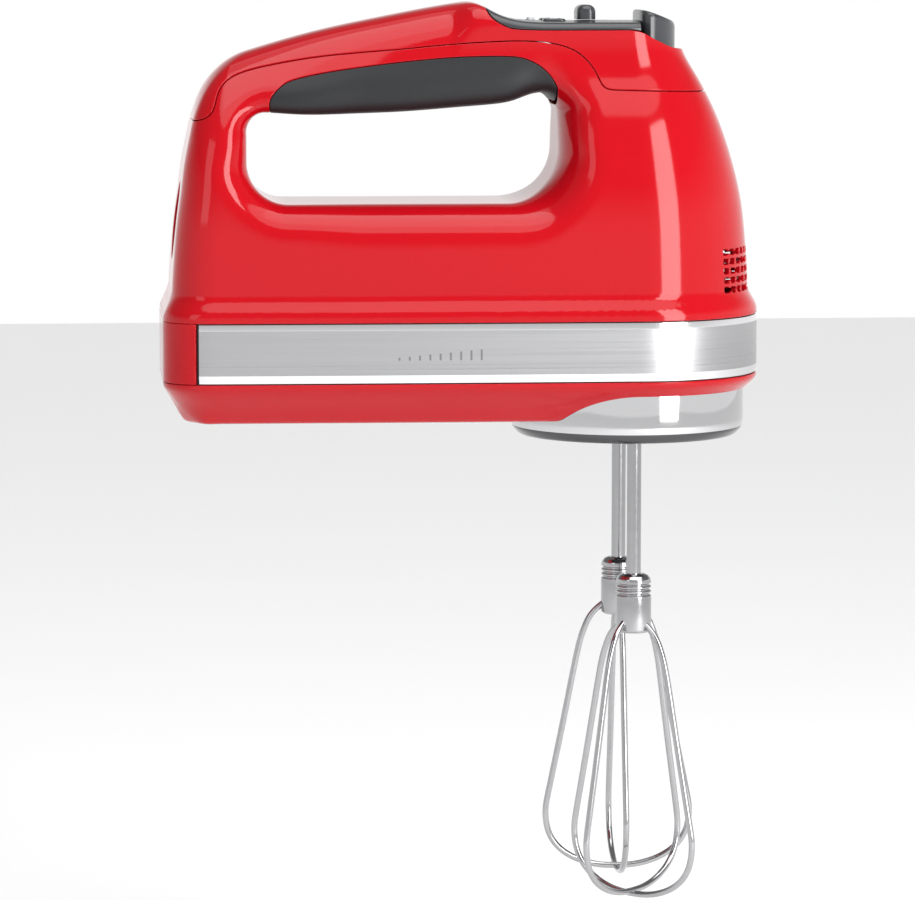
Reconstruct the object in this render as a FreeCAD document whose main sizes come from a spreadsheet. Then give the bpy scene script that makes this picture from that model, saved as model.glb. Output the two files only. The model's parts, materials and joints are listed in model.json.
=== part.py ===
import FreeCAD, Part
import math
import os
import Sketcher

# Hand mixer, built as separate sub-parts in one frame (millimetres).
# Origin: middle of the handle grip.  +X: nose, +Y: left side, +Z: up.
os.makedirs("parts", exist_ok=True)
V = FreeCAD.Vector
doc = FreeCAD.newDocument("HandMixer")

# ---------------------------------------------------------------- driving sizes
D = doc.addObject("Spreadsheet::Sheet", "D")
SIZES = [
    # shell
    ("wall", 2.4), ("half_width", 44.1), ("nose_x", 122.1), ("rear_x", -80.4),
    ("bottom_z", -117.5), ("band_low", -103), ("band_top", -83), ("band_end", -70),
    ("band_thick", 0.7), ("grip_thick", 1.6), ("panel_z", 15.9), ("crest_z", 22.3),
    # beater drive
    ("drive_x", 78), ("drive_gap", 21), ("motor_z", -80), ("gear_teeth", 26),
    ("worm_starts", 2), ("gear_module", 1.25), ("gear_pitch_r", 16.25),
    ("worm_pitch_r", 4.75), ("gear_face", 8), ("tooth_play", 0.36),
    ("spindle_r", 5), ("spindle_bore_r", 2.5), ("spindle_low", -124.5),
    ("spindle_high", -63), ("bush_r", 7.5), ("ring_r", 39.7), ("ring_low", -124.5),
    ("ring_high", -110),
    # motor
    ("shaft_r", 2.5), ("core_r", 13), ("core_x", 4), ("core_len", 26),
    ("stator_bore_r", 13.5), ("stator_high", 56), ("stator_wide", 54),
    ("commutator_r", 8), ("fan_r", 24), ("bearing_r", 5),
    # beaters
    ("shank_r", 2.43), ("collar_r", 6), ("collar_low", -190), ("collar_high", -170),
    ("wire_r", 1.08), ("loop_r", 25.5), ("loop_low", -279), ("shank_top", -65),
    # controls
    ("eject_travel", 6), ("eject_front", 93.8), ("eject_back", 80.6),
    ("eject_r", 18.4), ("key_travel", 1), ("switch_travel", 5),
    # cord swivel
    ("swivel_z", -51), ("swivel_r", 13), ("cord_bore_r", 3.6),
]
for row, (name, value) in enumerate(SIZES, start=1):
    D.set("A%d" % row, name)
    D.set("B%d" % row, str(value))
    D.setAlias("B%d" % row, name)
doc.recompute()


def size(expression):
    """Value of a sheet expression such as 'D.wall * 2'."""
    return float(anchor.evalExpression(expression))


anchor = doc.addObject("App::FeaturePython", "Anchor")
NODES = []


# ---------------------------------------------------------------- PartDesign helpers
def new_body(node, x=None, y=None, z=None):
    body = doc.addObject("PartDesign::Body", node)
    body.Label = node
    for axis, expression in (("x", x), ("y", y), ("z", z)):
        if expression is not None:
            body.setExpression("Placement.Base." + axis, expression)
    NODES.append(body)
    return body


def new_sketch(body, role, name, start=None):
    sketch = body.newObject("Sketcher::SketchObject", name)
    plane = [f for f in body.Origin.OriginFeatures if f.Role == role][0]
    sketch.AttachmentSupport = (plane, "")
    sketch.MapMode = "FlatFace"
    if start is not None:
        sketch.setExpression("AttachmentOffset.Base.z", str(start))
    return sketch


def polygon(sketch, points):
    """Closed outline whose corners follow sheet expressions or plain numbers."""
    texts = [(str(a), str(b)) for a, b in points]
    corners = [(size(a), size(b)) for a, b in texts]
    count = len(corners)
    first = sketch.GeometryCount
    for i in range(count):
        a, b = corners[i], corners[(i + 1) % count]
        sketch.addGeometry(Part.LineSegment(V(a[0], a[1], 0), V(b[0], b[1], 0)))
    for i in range(count):
        sketch.addConstraint(Sketcher.Constraint(
            "Coincident", first + i, 2, first + (i + 1) % count, 1))
    for i in range(count):
        for kind, k in (("DistanceX", 0), ("DistanceY", 1)):
            index = sketch.addConstraint(
                Sketcher.Constraint(kind, -1, 1, first + i, 1, corners[i][k]))
            if "D." in texts[i][k]:
                sketch.setExpression("Constraints[%d]" % index, texts[i][k])


def circle(sketch, cx, cy, radius):
    x, y, r = size(str(cx)), size(str(cy)), size(str(radius))
    g = sketch.addGeometry(Part.Circle(V(x, y, 0), V(0, 0, 1), r))
    for constraint, text in (
            (Sketcher.Constraint("DistanceX", -1, 1, g, 3, x), str(cx)),
            (Sketcher.Constraint("DistanceY", -1, 1, g, 3, y), str(cy)),
            (Sketcher.Constraint("Radius", g, r), str(radius))):
        index = sketch.addConstraint(constraint)
        if "D." in text:
            sketch.setExpression("Constraints[%d]" % index, text)


def extrude(body, sketch, length, cut=False, both=False, back=False, name=None):
    kind = "PartDesign::Pocket" if cut else "PartDesign::Pad"
    feature = body.newObject(kind, name or (sketch.Name + ("_cut" if cut else "_pad")))
    feature.Profile = sketch
    feature.Length = size(str(length))
    if "D." in str(length):
        feature.setExpression("Length", str(length))
    feature.Midplane = both
    # a pocket runs against the sketch normal unless it is turned round
    feature.Reversed = back != cut
    sketch.Visibility = False
    return feature


def block(body, name, x0, x1, y0, y1, z0, z1, cut=False):
    """Box between six coordinates, as a pad or a pocket."""
    sketch = new_sketch(body, "XY_Plane", name, str(z0))
    polygon(sketch, [(x0, y0), (x1, y0), (x1, y1), (x0, y1)])
    return extrude(body, sketch, "(%s) - (%s)" % (z1, z0), cut=cut)


def disc(body, name, role, cx, cy, radius, start, length, cut=False):
    sketch = new_sketch(body, role, name, str(start))
    circle(sketch, cx, cy, radius)
    return extrude(body, sketch, length, cut=cut)


def turn(body, name, points, axis="V_Axis", cut=False):
    """Full revolution of an XZ outline about the local Z (V) or X (H) axis."""
    sketch = new_sketch(body, "XZ_Plane", name)
    polygon(sketch, points)
    kind = "PartDesign::Groove" if cut else "PartDesign::Revolution"
    feature = body.newObject(kind, name + "_turn")
    feature.Profile = sketch
    feature.ReferenceAxis = (sketch, [axis])
    feature.Angle = 360
    sketch.Visibility = False
    return feature


def polar(body, feature, sketch, axis_role, count, name):
    pattern = body.newObject("PartDesign::PolarPattern", name)
    pattern.Originals = [feature]
    axis = [f for f in body.Origin.OriginFeatures if f.Role == axis_role][0]
    pattern.Axis = (axis, [""])
    pattern.Angle = 360
    pattern.Occurrences = count
    body.Tip = pattern
    return pattern


def solid_node(node, shape, x=None, y=None, z=None):
    """Sub-part whose shape is worked out directly; placement stays driven."""
    part = doc.addObject("Part::Feature", node)
    part.Label = node
    part.Shape = shape
    for axis, expression in (("x", x), ("y", y), ("z", z)):
        if expression is not None:
            part.setExpression("Placement.Base." + axis, expression)
    NODES.append(part)
    return part


def box(x0, x1, y0, y1, z0, z1):
    return Part.makeBox(x1 - x0, y1 - y0, z1 - z0, V(x0, y0, z0))


def rod(radius, start, direction, length):
    return Part.makeCylinder(radius, length, start, direction)


def prism_xz(points, half=60.0):
    """Side outline (x, z) carried across the full width."""
    wire = Part.makePolygon([V(x, -half, z) for x, z in points + points[:1]])
    return Part.Face(wire).extrude(V(0, 2 * half, 0))


def pipe(points, bends, radius):
    """Round wire along straight runs joined by arcs of the given bend radii."""
    edges, last = [], points[0]
    for i, bend in enumerate(bends, start=1):
        before = (points[i - 1] - points[i]).normalize()
        after = (points[i + 1] - points[i]).normalize()
        half = before.getAngle(after) / 2
        reach = bend / math.tan(half)
        a, b = points[i] + before * reach, points[i] + after * reach
        middle = (before + after).normalize()
        peak = points[i] + middle * (bend / math.sin(half) - bend)
        edges += [Part.makeLine(last, a), Part.Arc(a, peak, b).toShape()]
        last = b
    edges.append(Part.makeLine(last, points[-1]))
    start = Part.Wire([Part.makeCircle(radius, points[0], points[1] - points[0])])
    return Part.Wire(edges).makePipeShell([start], True, False)


# ---------------------------------------------------------------- shell forms
WALL = size("D.wall")
HALF = size("D.half_width")
NOSE = size("D.nose_x")
REAR = size("D.rear_x")
DRIVE_X = size("D.drive_x")

# height, half width, nose x, rear x: the plan outline from the band upwards
UPPER_LEVELS = [
    (size("D.band_top"), HALF, NOSE, REAR), (-81.0, HALF, NOSE, REAR),
    (-78.6, 43.0, 121.0, -79.8), (-75.5, 41.4, 119.5, -78.7),
    (-71.5, 40.8, 118.9, -77.6), (-64, 40.4, 118.4, -76.8), (-54, 39.6, 117.6, -76.0),
    (-44, 38.4, 116.4, -74.7), (-34, 36.1, 114.1, -73.2), (-24, 33.0, 111.2, -71.4),
    (-16, 29.8, 108.0, -69.8), (-9, 26.4, 104.6, -68.2), (-2, 22.9, 100.6, -66.6),
    (5, 20.8, 96.3, -65.0), (12, 20.1, 94.6, -63.6), (28, 19.6, 94.2, -61.0),
]
LOWER_LEVELS = [
    (size("D.bottom_z"), 30.0, 112.0, -73.5), (-116.4, 32.2, 115.0, -75.2),
    (-113.5, 36.5, 118.0, -77.6), (-110.5, 41.0, 120.0, -79.2),
    (-107.8, 43.3, 121.4, -80.1), (-105.6, HALF, NOSE, REAR),
    (size("D.band_low"), HALF, NOSE, REAR),
]
# station along x, crown height, drop at the shoulder
ROOF_LEVELS = [
    (-92, -8, 9.5), (-66.4, -0.6, 9.5), (-63.6, 1.6, 9.5), (-60, 3.2, 9.5),
    (-48, 7.1, 9.5), (-30, 12.2, 9.5), (-6.2, 17.3, 9.5), (12, 20.8, 9.5),
    (20, 22.0, 9.3), (24.2, 22.3, 9.0), (26.6, 21.4, 8.4), (29.5, 19.8, 7),
    (34, 17.9, 4.6), (41, 16.4, 2.6), (50, 15.9, 2.0), (125, 15.9, 2.0),
]
# side outline of the hand opening: corner centres, radius, bulge of the upper edge
OPEN_LEFT, OPEN_RIGHT = -52.2, 52.8
OPEN_LOW, OPEN_HIGH_REAR, OPEN_HIGH_NOSE = -44.4, -14.7, -8.2


def plan_wire(z, width, nose, rear, inset=0.0):
    """Rounded heel, nearly straight sides, half-round nose."""
    w, n, r = width - inset, nose - inset, rear + inset
    wr = 0.94 * width - inset
    c = max(0.34 * width - inset, 2.0)
    h = c * (1 - math.sqrt(0.5))
    nx = n - w
    pts = [V(r, -wr + c, z), V(r, wr - c, z), V(r + c, wr, z), V(nx, w, z),
           V(nx, -w, z), V(r + c, -wr, z)]
    edges = [
        Part.makeLine(pts[0], pts[1]),
        Part.Arc(pts[1], V(r + h, wr - h, z), pts[2]).toShape(),
        Part.makeLine(pts[2], pts[3]),
        Part.Arc(pts[3], V(n, 0, z), pts[4]).toShape(),
        Part.makeLine(pts[4], pts[5]),
        Part.Arc(pts[5], V(r + h, -wr + h, z), pts[0]).toShape(),
    ]
    return Part.Wire(edges)


def stack(levels, inset=0.0, ruled=False):
    return Part.makeLoft([plan_wire(*level, inset) for level in levels], True, ruled)


def roof(inset):
    """Everything under the crowned top surface."""
    wires = []
    for x, crown, drop in ROOF_LEVELS:
        top, half = crown - inset, 22.0
        low = [V(x, half, top - drop), V(x, 52, top - drop - 12), V(x, 52, -130),
               V(x, -52, -130), V(x, -52, top - drop - 12), V(x, -half, top - drop)]
        edges = [Part.Arc(low[-1], V(x, 0, top), low[0]).toShape()]
        edges += [Part.makeLine(low[i], low[i + 1]) for i in range(5)]
        wires.append(Part.Wire(edges))
    return Part.makeLoft(wires, True, True)


def opening_wire(y, inset):
    """Hand opening at distance y from the middle plane; it flares outwards."""
    def swell(depth, half):
        t = min(abs(y) / (half - inset), 0.985)
        extra = max(0.0, abs(y) - 0.985 * (half - inset)) * 0.9
        return depth * (1 - math.sqrt(1 - t * t)) + extra + inset
    low, high = swell(16.0, 41.0), swell(13.0, 21.5)
    rear, nose = swell(9.0, 38.0), swell(12.0, 40.0)
    x0, x1 = OPEN_LEFT - rear, OPEN_RIGHT + nose
    z0, z1, z2 = OPEN_LOW - low, OPEN_HIGH_REAR + high, OPEN_HIGH_NOSE + high
    rb, rt = 14.0 + inset, 6.0 + inset
    k = 1 - math.sqrt(0.5)
    p = [V(x0 + rb, y, z0), V(x1 - rb, y, z0), V(x1, y, z0 + rb), V(x1, y, z2 - rt),
         V(x1 - rt, y, z2), V(x0 + rt, y, z1), V(x0, y, z1 - rt), V(x0, y, z0 + rb)]
    return Part.Wire([
        Part.makeLine(p[0], p[1]),
        Part.Arc(p[1], V(x1 - rb * k, y, z0 + rb * k), p[2]).toShape(),
        Part.makeLine(p[2], p[3]),
        Part.Arc(p[3], V(x1 - rt * k, y, z2 - rt * k), p[4]).toShape(),
        Part.Arc(p[4], V(0.5 * (x0 + x1) + 8, y, z1 + 0.9), p[5]).toShape(),
        Part.Arc(p[5], V(x0 + rt * k, y, z1 - rt * k), p[6]).toShape(),
        Part.makeLine(p[6], p[7]),
        Part.Arc(p[7], V(x0 + rb * k, y, z0 + rb * k), p[0]).toShape(),
    ])


def opening(inset):
    stations = [-52, -44, -38, -30, -22, -19, -15, -8, 0, 8, 15, 19, 22, 30, 38, 44, 52]
    return Part.makeLoft([opening_wire(y, inset) for y in stations], True, False)


def upper_form(inset):
    """Body above the band's upper edge, pulled in by the inset on every side."""
    body = stack(UPPER_LEVELS, inset).common(roof(inset))
    return body.cut(opening(inset))



outer = upper_form(0.0)
inner = upper_form(WALL)
skin = upper_form(size("D.grip_thick"))
BAND_LOW, BAND_TOP = size("D.band_low"), size("D.band_top")


def waist(width_inset, z0, z1):
    wire = plan_wire(z0, HALF, NOSE, REAR, width_inset)
    return Part.Face(wire).extrude(V(0, 0, z1 - z0))


# side outline of everything above the seam between cover and housing
SEAM = [(-95, -17.4), (-70, -17.4), (-63, -14.5), (-62.2, -8), (-58.8, -3.2),
        (-51.5, 0), (-43.6, 1.7), (-29.5, 4), (-1.3, 6.5), (18.5, 8.4), (38, 9.1),
        (52.3, 8.8), (59.6, 7.1), (63.4, 4), (65.6, 0.3), (66.8, -5.8), (125, -8),
        (125, 60), (-95, 60)]
# dark control area on top of the nose column
CONTROL = [(28.4, 24), (29.4, 19.3), (33.6, 15.6), (41, 13.4), (77, 13.2), (84, 9.6),
           (90, 6.6), (100, 5.6), (100, 40), (28.4, 40)]
GRIP = [(-44, -18), (-41.4, -5.6), (-36, -3), (-25.2, -0.9), (-1.3, 2.4), (15.7, 3.8),
        (32.6, 4.2), (41, 3.4), (46.8, 0.6), (49.5, -2.6), (51.2, -6.4), (52, -9),
        (46, -20)]

upper_shell = outer.cut(inner)
cover_region = prism_xz(SEAM)
control_region = prism_xz(CONTROL)
grip_region = prism_xz(GRIP)
control_block = outer.common(control_region)

# ejector well: half-round front, flat back
EJ_FRONT, EJ_BACK, EJ_R = size("D.eject_front"), size("D.eject_back"), size("D.eject_r")


def ejector_prism(play, z0, z1):
    drum = rod(EJ_R + play, V(EJ_FRONT - EJ_R, 0, z0), V(0, 0, 1), z1 - z0)
    return drum.common(box(EJ_BACK - play, EJ_FRONT + 5, -40, 40, z0, z1))


well = ejector_prism(0.35, -3, 40)
cover = upper_shell.common(cover_region).cut(control_region).cut(well)
# room for the two keys under the panel
cover = cover.cut(box(46.4, 57.6, -10.4, 10.4, 6, 20))
solid_node("top_cover", cover)

housing = upper_shell.cut(cover_region)
grip_shape = outer.cut(skin).common(grip_region)
housing = housing.cut(grip_shape)
band_ring = waist(0.0, BAND_LOW, BAND_TOP).cut(
    waist(size("D.band_thick"), BAND_LOW, BAND_TOP)).common(
    box(size("D.band_end"), 200, -60, 60, -120, 0))
waist_shell = waist(0.0, BAND_LOW, BAND_TOP).cut(waist(WALL + 0.7, BAND_LOW, BAND_TOP))
housing = housing.fuse(waist_shell.cut(band_ring))

# vents: five rows of slots round the nose
slots = []
for row in range(5):
    for column in range(-7, 8):
        slot = box(28, 60, -1.6, 1.6, -1.05, 1.05)
        slot.rotate(V(0, 0, 0), V(0, 0, 1), column * 6.0)
        slot.translate(V(DRIVE_X, 0, -73.8 + 3.15 * row))
        slots.append(slot)
housing = housing.cut(Part.makeCompound(slots))

# screw bosses with a rib to the side wall
BOSSES = [(-66, 24), (-66, -24), (35.4, 25), (35.4, -25)]
for bx, by in BOSSES:
    side = 1 if by > 0 else -1
    boss = rod(4.2, V(bx, by, -104), V(0, 0, 1), 22)
    rib = box(bx - 1.2, bx + 1.2, min(by, side * 41.4), max(by, side * 41.4), -102, -84)
    if bx < 0:
        rib = box(-77.8, bx, by - 1.2, by + 1.2, -102, -84)
    post = boss.fuse(rib).common(waist(1.0, -104.5, -60))
    post = post.cut(rod(1.25, V(bx, by, -105), V(0, 0, 1), 16))
    housing = housing.fuse(post)

# recess and opening for the cord swivel in the rear face
SW_Z, SW_R = size("D.swivel_z"), size("D.swivel_r")
SW_FLOOR = -69.0
pocket_wall = rod(SW_R + 3.0, V(-80, 0, SW_Z), V(1, 0, 0), 80 + SW_FLOOR + 2.2)
housing = housing.fuse(pocket_wall.common(outer))
housing = housing.cut(rod(SW_R + 0.35, V(-90, 0, SW_Z), V(1, 0, 0), 90 + SW_FLOOR))
housing = housing.cut(rod(6.05, V(-90, 0, SW_Z), V(1, 0, 0), 40))
housing = housing.removeSplitter()
solid_node("main_housing", housing)
solid_node("grip", grip_shape)

# trim band with bevelled long edges
bevel_low = stack([(BAND_LOW, HALF - 0.45, NOSE - 0.45, REAR), (BAND_LOW + 2.7, HALF, NOSE, REAR)],
                  0.0, True)
bevel_high = stack([(BAND_TOP - 2.1, HALF, NOSE, REAR), (BAND_TOP, HALF - 0.35, NOSE - 0.35, REAR)],
                   0.0, True)
middle = waist(0.0, BAND_LOW + 2.7, BAND_TOP - 2.1)
band_body = bevel_low.fuse([middle, bevel_high])
solid_node("trim_band", band_ring.common(band_body))

# underside tray
tray = stack(LOWER_LEVELS)
FLOOR = 2.5
core_levels = [(z + (FLOOR if z < -112 else 0), w, n, r) for z, w, n, r in LOWER_LEVELS]
core_levels[-1] = (BAND_LOW + 1, HALF, NOSE, REAR)
tray = tray.cut(stack(core_levels, WALL + 0.3))
RING_R, RING_LOW, RING_HIGH = size("D.ring_r"), size("D.ring_low"), size("D.ring_high")
tray = tray.cut(rod(RING_R + 0.05, V(DRIVE_X, 0, -130), V(0, 0, 1), 130 + RING_HIGH))
for bx, by in BOSSES:
    column = rod(5.2, V(bx, by, -117), V(0, 0, 1), 13).common(stack(LOWER_LEVELS))
    tray = tray.fuse(column)
for bx, by in BOSSES:
    tray = tray.cut(rod(3.4, V(bx, by, -120), V(0, 0, 1), 8))
    tray = tray.cut(rod(1.7, V(bx, by, -120), V(0, 0, 1), 20))
# cooling slots in the floor behind the ring
for i in range(6):
    tray = tray.cut(box(-30 + 7 * i, -26.5 + 7 * i, -14, 14, -120, -112))
solid_node("bottom_housing", tray.removeSplitter())

# control panel with its openings
PANEL_Z = size("D.panel_z")
PANEL_THICK = 2.2
panel = control_block.common(box(20, EJ_BACK - 0.6, -60, 60, 0, 60))
under = outer.copy()
under.translate(V(0, 0, -PANEL_THICK))
panel = panel.cut(under.common(box(20, 100, -17.4, 17.4, -40, 40)))
panel = panel.common(box(20, 100, -30, 30, 9, 40)).cut(well)
KEY_X, KEY_Y = 52, 5.4
for side in (1, -1):
    panel = panel.cut(box(KEY_X - 4.3, KEY_X + 4.3, side * KEY_Y - 4.5, side * KEY_Y + 4.5, 0, 40))
SWITCH_X = 63.8
TRAVEL = size("D.switch_travel")
panel = panel.cut(box(SWITCH_X - 2.4, SWITCH_X + 2.4 + TRAVEL, -3.3, 3.3, 0, 40))
lens_seat = box(-5, 5, -9, 9, -1.4, 2)
lens_seat.rotate(V(0, 0, 0), V(0, 1, 0), 16)
lens_seat.translate(V(35.6, 0, 17.3))
window = control_block.common(lens_seat)
panel = panel.cut(lens_seat)
panel = panel.cut(rod(1.7, V(44.6, 0, 0), V(0, 0, 1), 40))
solid_node("control_panel", panel)
solid_node("display_window", window)

# ---------------------------------------------------------------- controls
body = new_body("indicator_lens")
disc(body, "lens_disc", "XY_Plane", 44.6, 0, 1.6, "D.panel_z - 2", 2.4)
cap_sketch = new_sketch(body, "XY_Plane", "lens_cap", "D.panel_z + 0.4")
circle(cap_sketch, 44.6, 0, 1.2)
extrude(body, cap_sketch, 0.5)

body = new_body("power_switch")
block(body, "tab_base", SWITCH_X - 3.8, SWITCH_X + 3.9, -8, 8,
      "D.panel_z + 0.35", "D.panel_z + 2.2")
block(body, "tab_ridge", SWITCH_X - 2.6, SWITCH_X + 1.6, -7, 7,
      "D.panel_z + 2.2", "D.panel_z + 5.1")
block(body, "tab_neck", SWITCH_X - 2, SWITCH_X + 2, -3, 3, "D.panel_z - 4", "D.panel_z + 0.4")
block(body, "tab_foot", SWITCH_X - 3, SWITCH_X + 3, -4.6, 4.6, "D.panel_z - 6", "D.panel_z - 4")

for name, side in (("speed_up_button", 1), ("speed_down_button", -1)):
    body = new_body(name)
    block(body, name + "_cap", KEY_X - 4, KEY_X + 4, side * KEY_Y - 4.2, side * KEY_Y + 4.2,
          "D.panel_z - 3.4", "D.panel_z + 0.55")
    block(body, name + "_stop", KEY_X - 4.8, KEY_X + 4.8, side * KEY_Y - 4.2,
          side * KEY_Y + 4.2, "D.panel_z - 5", "D.panel_z - 3.4")
    disc(body, name + "_stem", "XY_Plane", KEY_X, side * KEY_Y, 1.4, "D.panel_z - 7", 2)

# ejector: domed button with a half-round front, a rod down the column, a push plate
dome = Part.makeSphere(48, V(82.5, 0, 19.2 - 48))
button = ejector_prism(0.0, -8, 30).common(dome)
hollow = ejector_prism(-2.0, -20, 13)
button = button.cut(hollow).fuse(rod(3.2, V(86.5, 0, -8), V(0, 0, 1), 22))
solid_node("ejector_button", button)

PLATE_Z = -53.5
body = new_body("ejector_rod", "D.drive_x + 8.5")
turn(body, "rod_profile", [(0, -8), (2.6, -8), (2.6, -50), (2.2, -50), (2.2, PLATE_Z), (0, PLATE_Z)])
body = new_body("ejector_plate", "D.drive_x")
block(body, "plate_bar", -4, 12, "-D.drive_gap", "D.drive_gap", PLATE_Z - 2.5, PLATE_Z)
for side in (1, -1):
    name = "pad_%s" % ("left" if side > 0 else "right")
    disc(body, name, "XY_Plane", 0, "%d * D.drive_gap" % side, 6.5, PLATE_Z - 2.5, 2.5)
    disc(body, name + "_pin", "XY_Plane", 0, "%d * D.drive_gap" % side, 1.9, PLATE_Z - 3.3, 1.0)

# return spring round the rod, between the column shelf and the button stem
SPRING_LOW, SPRING_HIGH = -31.4, -8.8
helix = Part.makeHelix(4.2, SPRING_HIGH - SPRING_LOW - 1.4, 4.1)
start = Part.Wire([Part.makeCircle(0.6, V(4.1, 0, 0), V(0, 1, 0.16))])
spring = Part.Wire(helix.Edges).makePipeShell([start], True, True)
spring.translate(V(86.5, 0, SPRING_LOW + 0.7))
solid_node("ejector_spring", spring)

# ---------------------------------------------------------------- hub
body = new_body("hub_ring", "D.drive_x")
turn(body, "ring_profile", [
    ("D.ring_r - 2.2", "D.ring_high"), ("D.ring_r", "D.ring_high"),
    ("D.ring_r", "D.ring_low + 11"), ("D.ring_r - 0.5", "D.ring_low + 3.2"),
    ("D.ring_r - 1.6", "D.ring_low + 1.2"), ("D.ring_r - 3.4", "D.ring_low"),
    ("D.ring_r - 4.4", "D.ring_low + 0.6"), ("D.ring_r - 4.4", "D.ring_low + 2.4"),
    ("D.ring_r - 2.6", "D.ring_low + 3.6")])
body = new_body("hub_plate", "D.drive_x")
disc(body, "plate_disc", "XY_Plane", 0, 0, "D.ring_r - 2.7", "D.ring_low + 4.5", 3)
for side in (1, -1):
    hole = disc(body, "socket_%d" % (side + 1), "XY_Plane", 0, "%d * D.drive_gap" % side,
                "D.spindle_r + 0.6", "D.ring_low + 4.5", 3, cut=True)

# ---------------------------------------------------------------- gears and spindles
MODULE = size("D.gear_module")
TEETH = int(size("D.gear_teeth"))
PITCH_R = size("D.gear_pitch_r")
WORM_R = size("D.worm_pitch_r")
LEAD = 2 * math.pi * WORM_R * (size("D.worm_starts") * MODULE * math.pi
                               / (2 * math.pi * WORM_R))
TAN_LEAD = LEAD / (2 * math.pi * WORM_R)
PLAY = size("D.tooth_play")
FACE = size("D.gear_face")
MOTOR_Z = size("D.motor_z")


def gear_section(z):
    """Toothed outline at height z, turned by the helix from the mid face."""
    turn_angle = z * TAN_LEAD / PITCH_R
    points = []
    pitch = 2 * math.pi / TEETH
    half_tooth = pitch / 4 - 0.5 * PLAY / PITCH_R
    slope = math.tan(math.radians(20))
    tip, root = PITCH_R + 0.8 * MODULE, PITCH_R - 1.05 * MODULE
    for i in range(TEETH):
        middle = i * pitch + turn_angle
        wide = half_tooth + (PITCH_R - root) * slope / root
        thin = half_tooth - (tip - PITCH_R) * slope / tip
        for radius, angle in ((root, -wide), (tip, -thin), (tip, thin), (root, wide)):
            a = middle + angle
            points.append(V(radius * math.cos(a), radius * math.sin(a), z))
    return Part.makePolygon(points + points[:1])


wheel = Part.makeLoft([gear_section(-FACE / 2), gear_section(0), gear_section(FACE / 2)],
                      True, True)
wheel = wheel.fuse(rod(7.4, V(0, 0, -6), V(0, 0, 1), 12))
wheel = wheel.cut(rod(size("D.spindle_r"), V(0, 0, -20), V(0, 0, 1), 40))
for z in (-FACE / 2 - 1, FACE / 2 - 1.6):
    ring = rod(13.2, V(0, 0, z), V(0, 0, 1), 2.6).cut(rod(8.6, V(0, 0, z), V(0, 0, 1), 2.6))
    wheel = wheel.cut(ring)
for side, word in ((1, "left"), (-1, "right")):
    solid_node(word + "_gear", wheel.copy(), "D.drive_x", "%d * D.drive_gap" % side, "D.motor_z")
    body = new_body(word + "_spindle", "D.drive_x", "%d * D.drive_gap" % side)
    turn(body, word + "_tube", [
        ("D.spindle_bore_r", "D.spindle_low"), ("D.spindle_r", "D.spindle_low"),
        ("D.spindle_r", "D.spindle_high"), ("D.spindle_bore_r", "D.spindle_high")])
    # cross slot that takes the drive ears of the shank
    block(body, word + "_slot", -7, 7, -0.95, 0.95, "D.spindle_low", "D.spindle_low + 7", cut=True)
    # the right drive stands an eighth of a turn away, so the loops interleave
    body.setExpression("Placement.Rotation.Angle", "0" if side > 0 else "45")

# ---------------------------------------------------------------- armature
shaft = rod(size("D.shaft_r"), V(-40, 0, 0), V(1, 0, 0), 144)
shaft = shaft.fuse(rod(WORM_R - 1.05 * MODULE, V(DRIVE_X - 15, 0, 0), V(1, 0, 0), 30))
TIP_R, ROOT_R = WORM_R + 0.8 * MODULE, WORM_R - 1.15 * MODULE
SLOPE = math.tan(math.radians(20))
for start in (0, 1):
    length = 24.0
    thread = Part.makeHelix(LEAD, length, WORM_R)
    half = 0.25 * LEAD / size("D.worm_starts") - 0.5 * PLAY
    z0, z1 = half + (WORM_R - ROOT_R) * SLOPE, half - (TIP_R - WORM_R) * SLOPE
    outline = Part.makePolygon([V(ROOT_R, 0, -z0), V(TIP_R, 0, -z1), V(TIP_R, 0, z1),
                                V(ROOT_R, 0, z0), V(ROOT_R, 0, -z0)])
    solid = Part.Wire(thread.Edges).makePipeShell([outline], True, True)
    # the thread crosses x = drive_x on the left side of the axis
    solid.translate(V(0, 0, -length / 2))
    solid.rotate(V(0, 0, 0), V(0, 0, 1), math.degrees(-math.pi * length / LEAD) + 180 * start)
    solid.rotate(V(0, 0, 0), V(0, 1, 0), 90)
    solid.rotate(V(0, 0, 0), V(1, 0, 0), 90)
    solid.translate(V(DRIVE_X, 0, 0))
    shaft = shaft.fuse(solid)
solid_node("armature_shaft", shaft, z="D.motor_z")

body = new_body("armature_core", z="D.motor_z")
disc(body, "core_disc", "YZ_Plane", 0, 0, "D.core_r", "D.core_x", "D.core_len")
disc(body, "core_bore", "YZ_Plane", 0, 0, "D.shaft_r", "D.core_x", "D.core_len", cut=True)
sketch = new_sketch(body, "YZ_Plane", "core_slot", "D.core_x")
polygon(sketch, [(-1.3, 7), (1.3, 7), (1.3, 14), (-1.3, 14)])
slot = extrude(body, sketch, "D.core_len", cut=True)
polar(body, slot, sketch, "X_Axis", 12, "core_slots")

body = new_body("armature_windings", z="D.motor_z")
turn(body, "front_turns", [(-3, 4), (-3, 10.5), (0, 11.8), ("D.core_x - 0.1", 11.2),
                           ("D.core_x - 0.1", 4)], "H_Axis")
turn(body, "rear_turns", [("D.core_x + D.core_len + 0.1", 4), ("D.core_x + D.core_len + 0.1", 11.2),
                          (34, 11.8), (36.5, 10.5), (36.5, 4)], "H_Axis")
sketch = new_sketch(body, "YZ_Plane", "slot_bar", 0)
polygon(sketch, [(-1.1, 7.3), (1.1, 7.3), (1.1, 11), (-1.1, 11)])
bar = extrude(body, sketch, 34)
polar(body, bar, sketch, "X_Axis", 12, "slot_bars")

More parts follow.
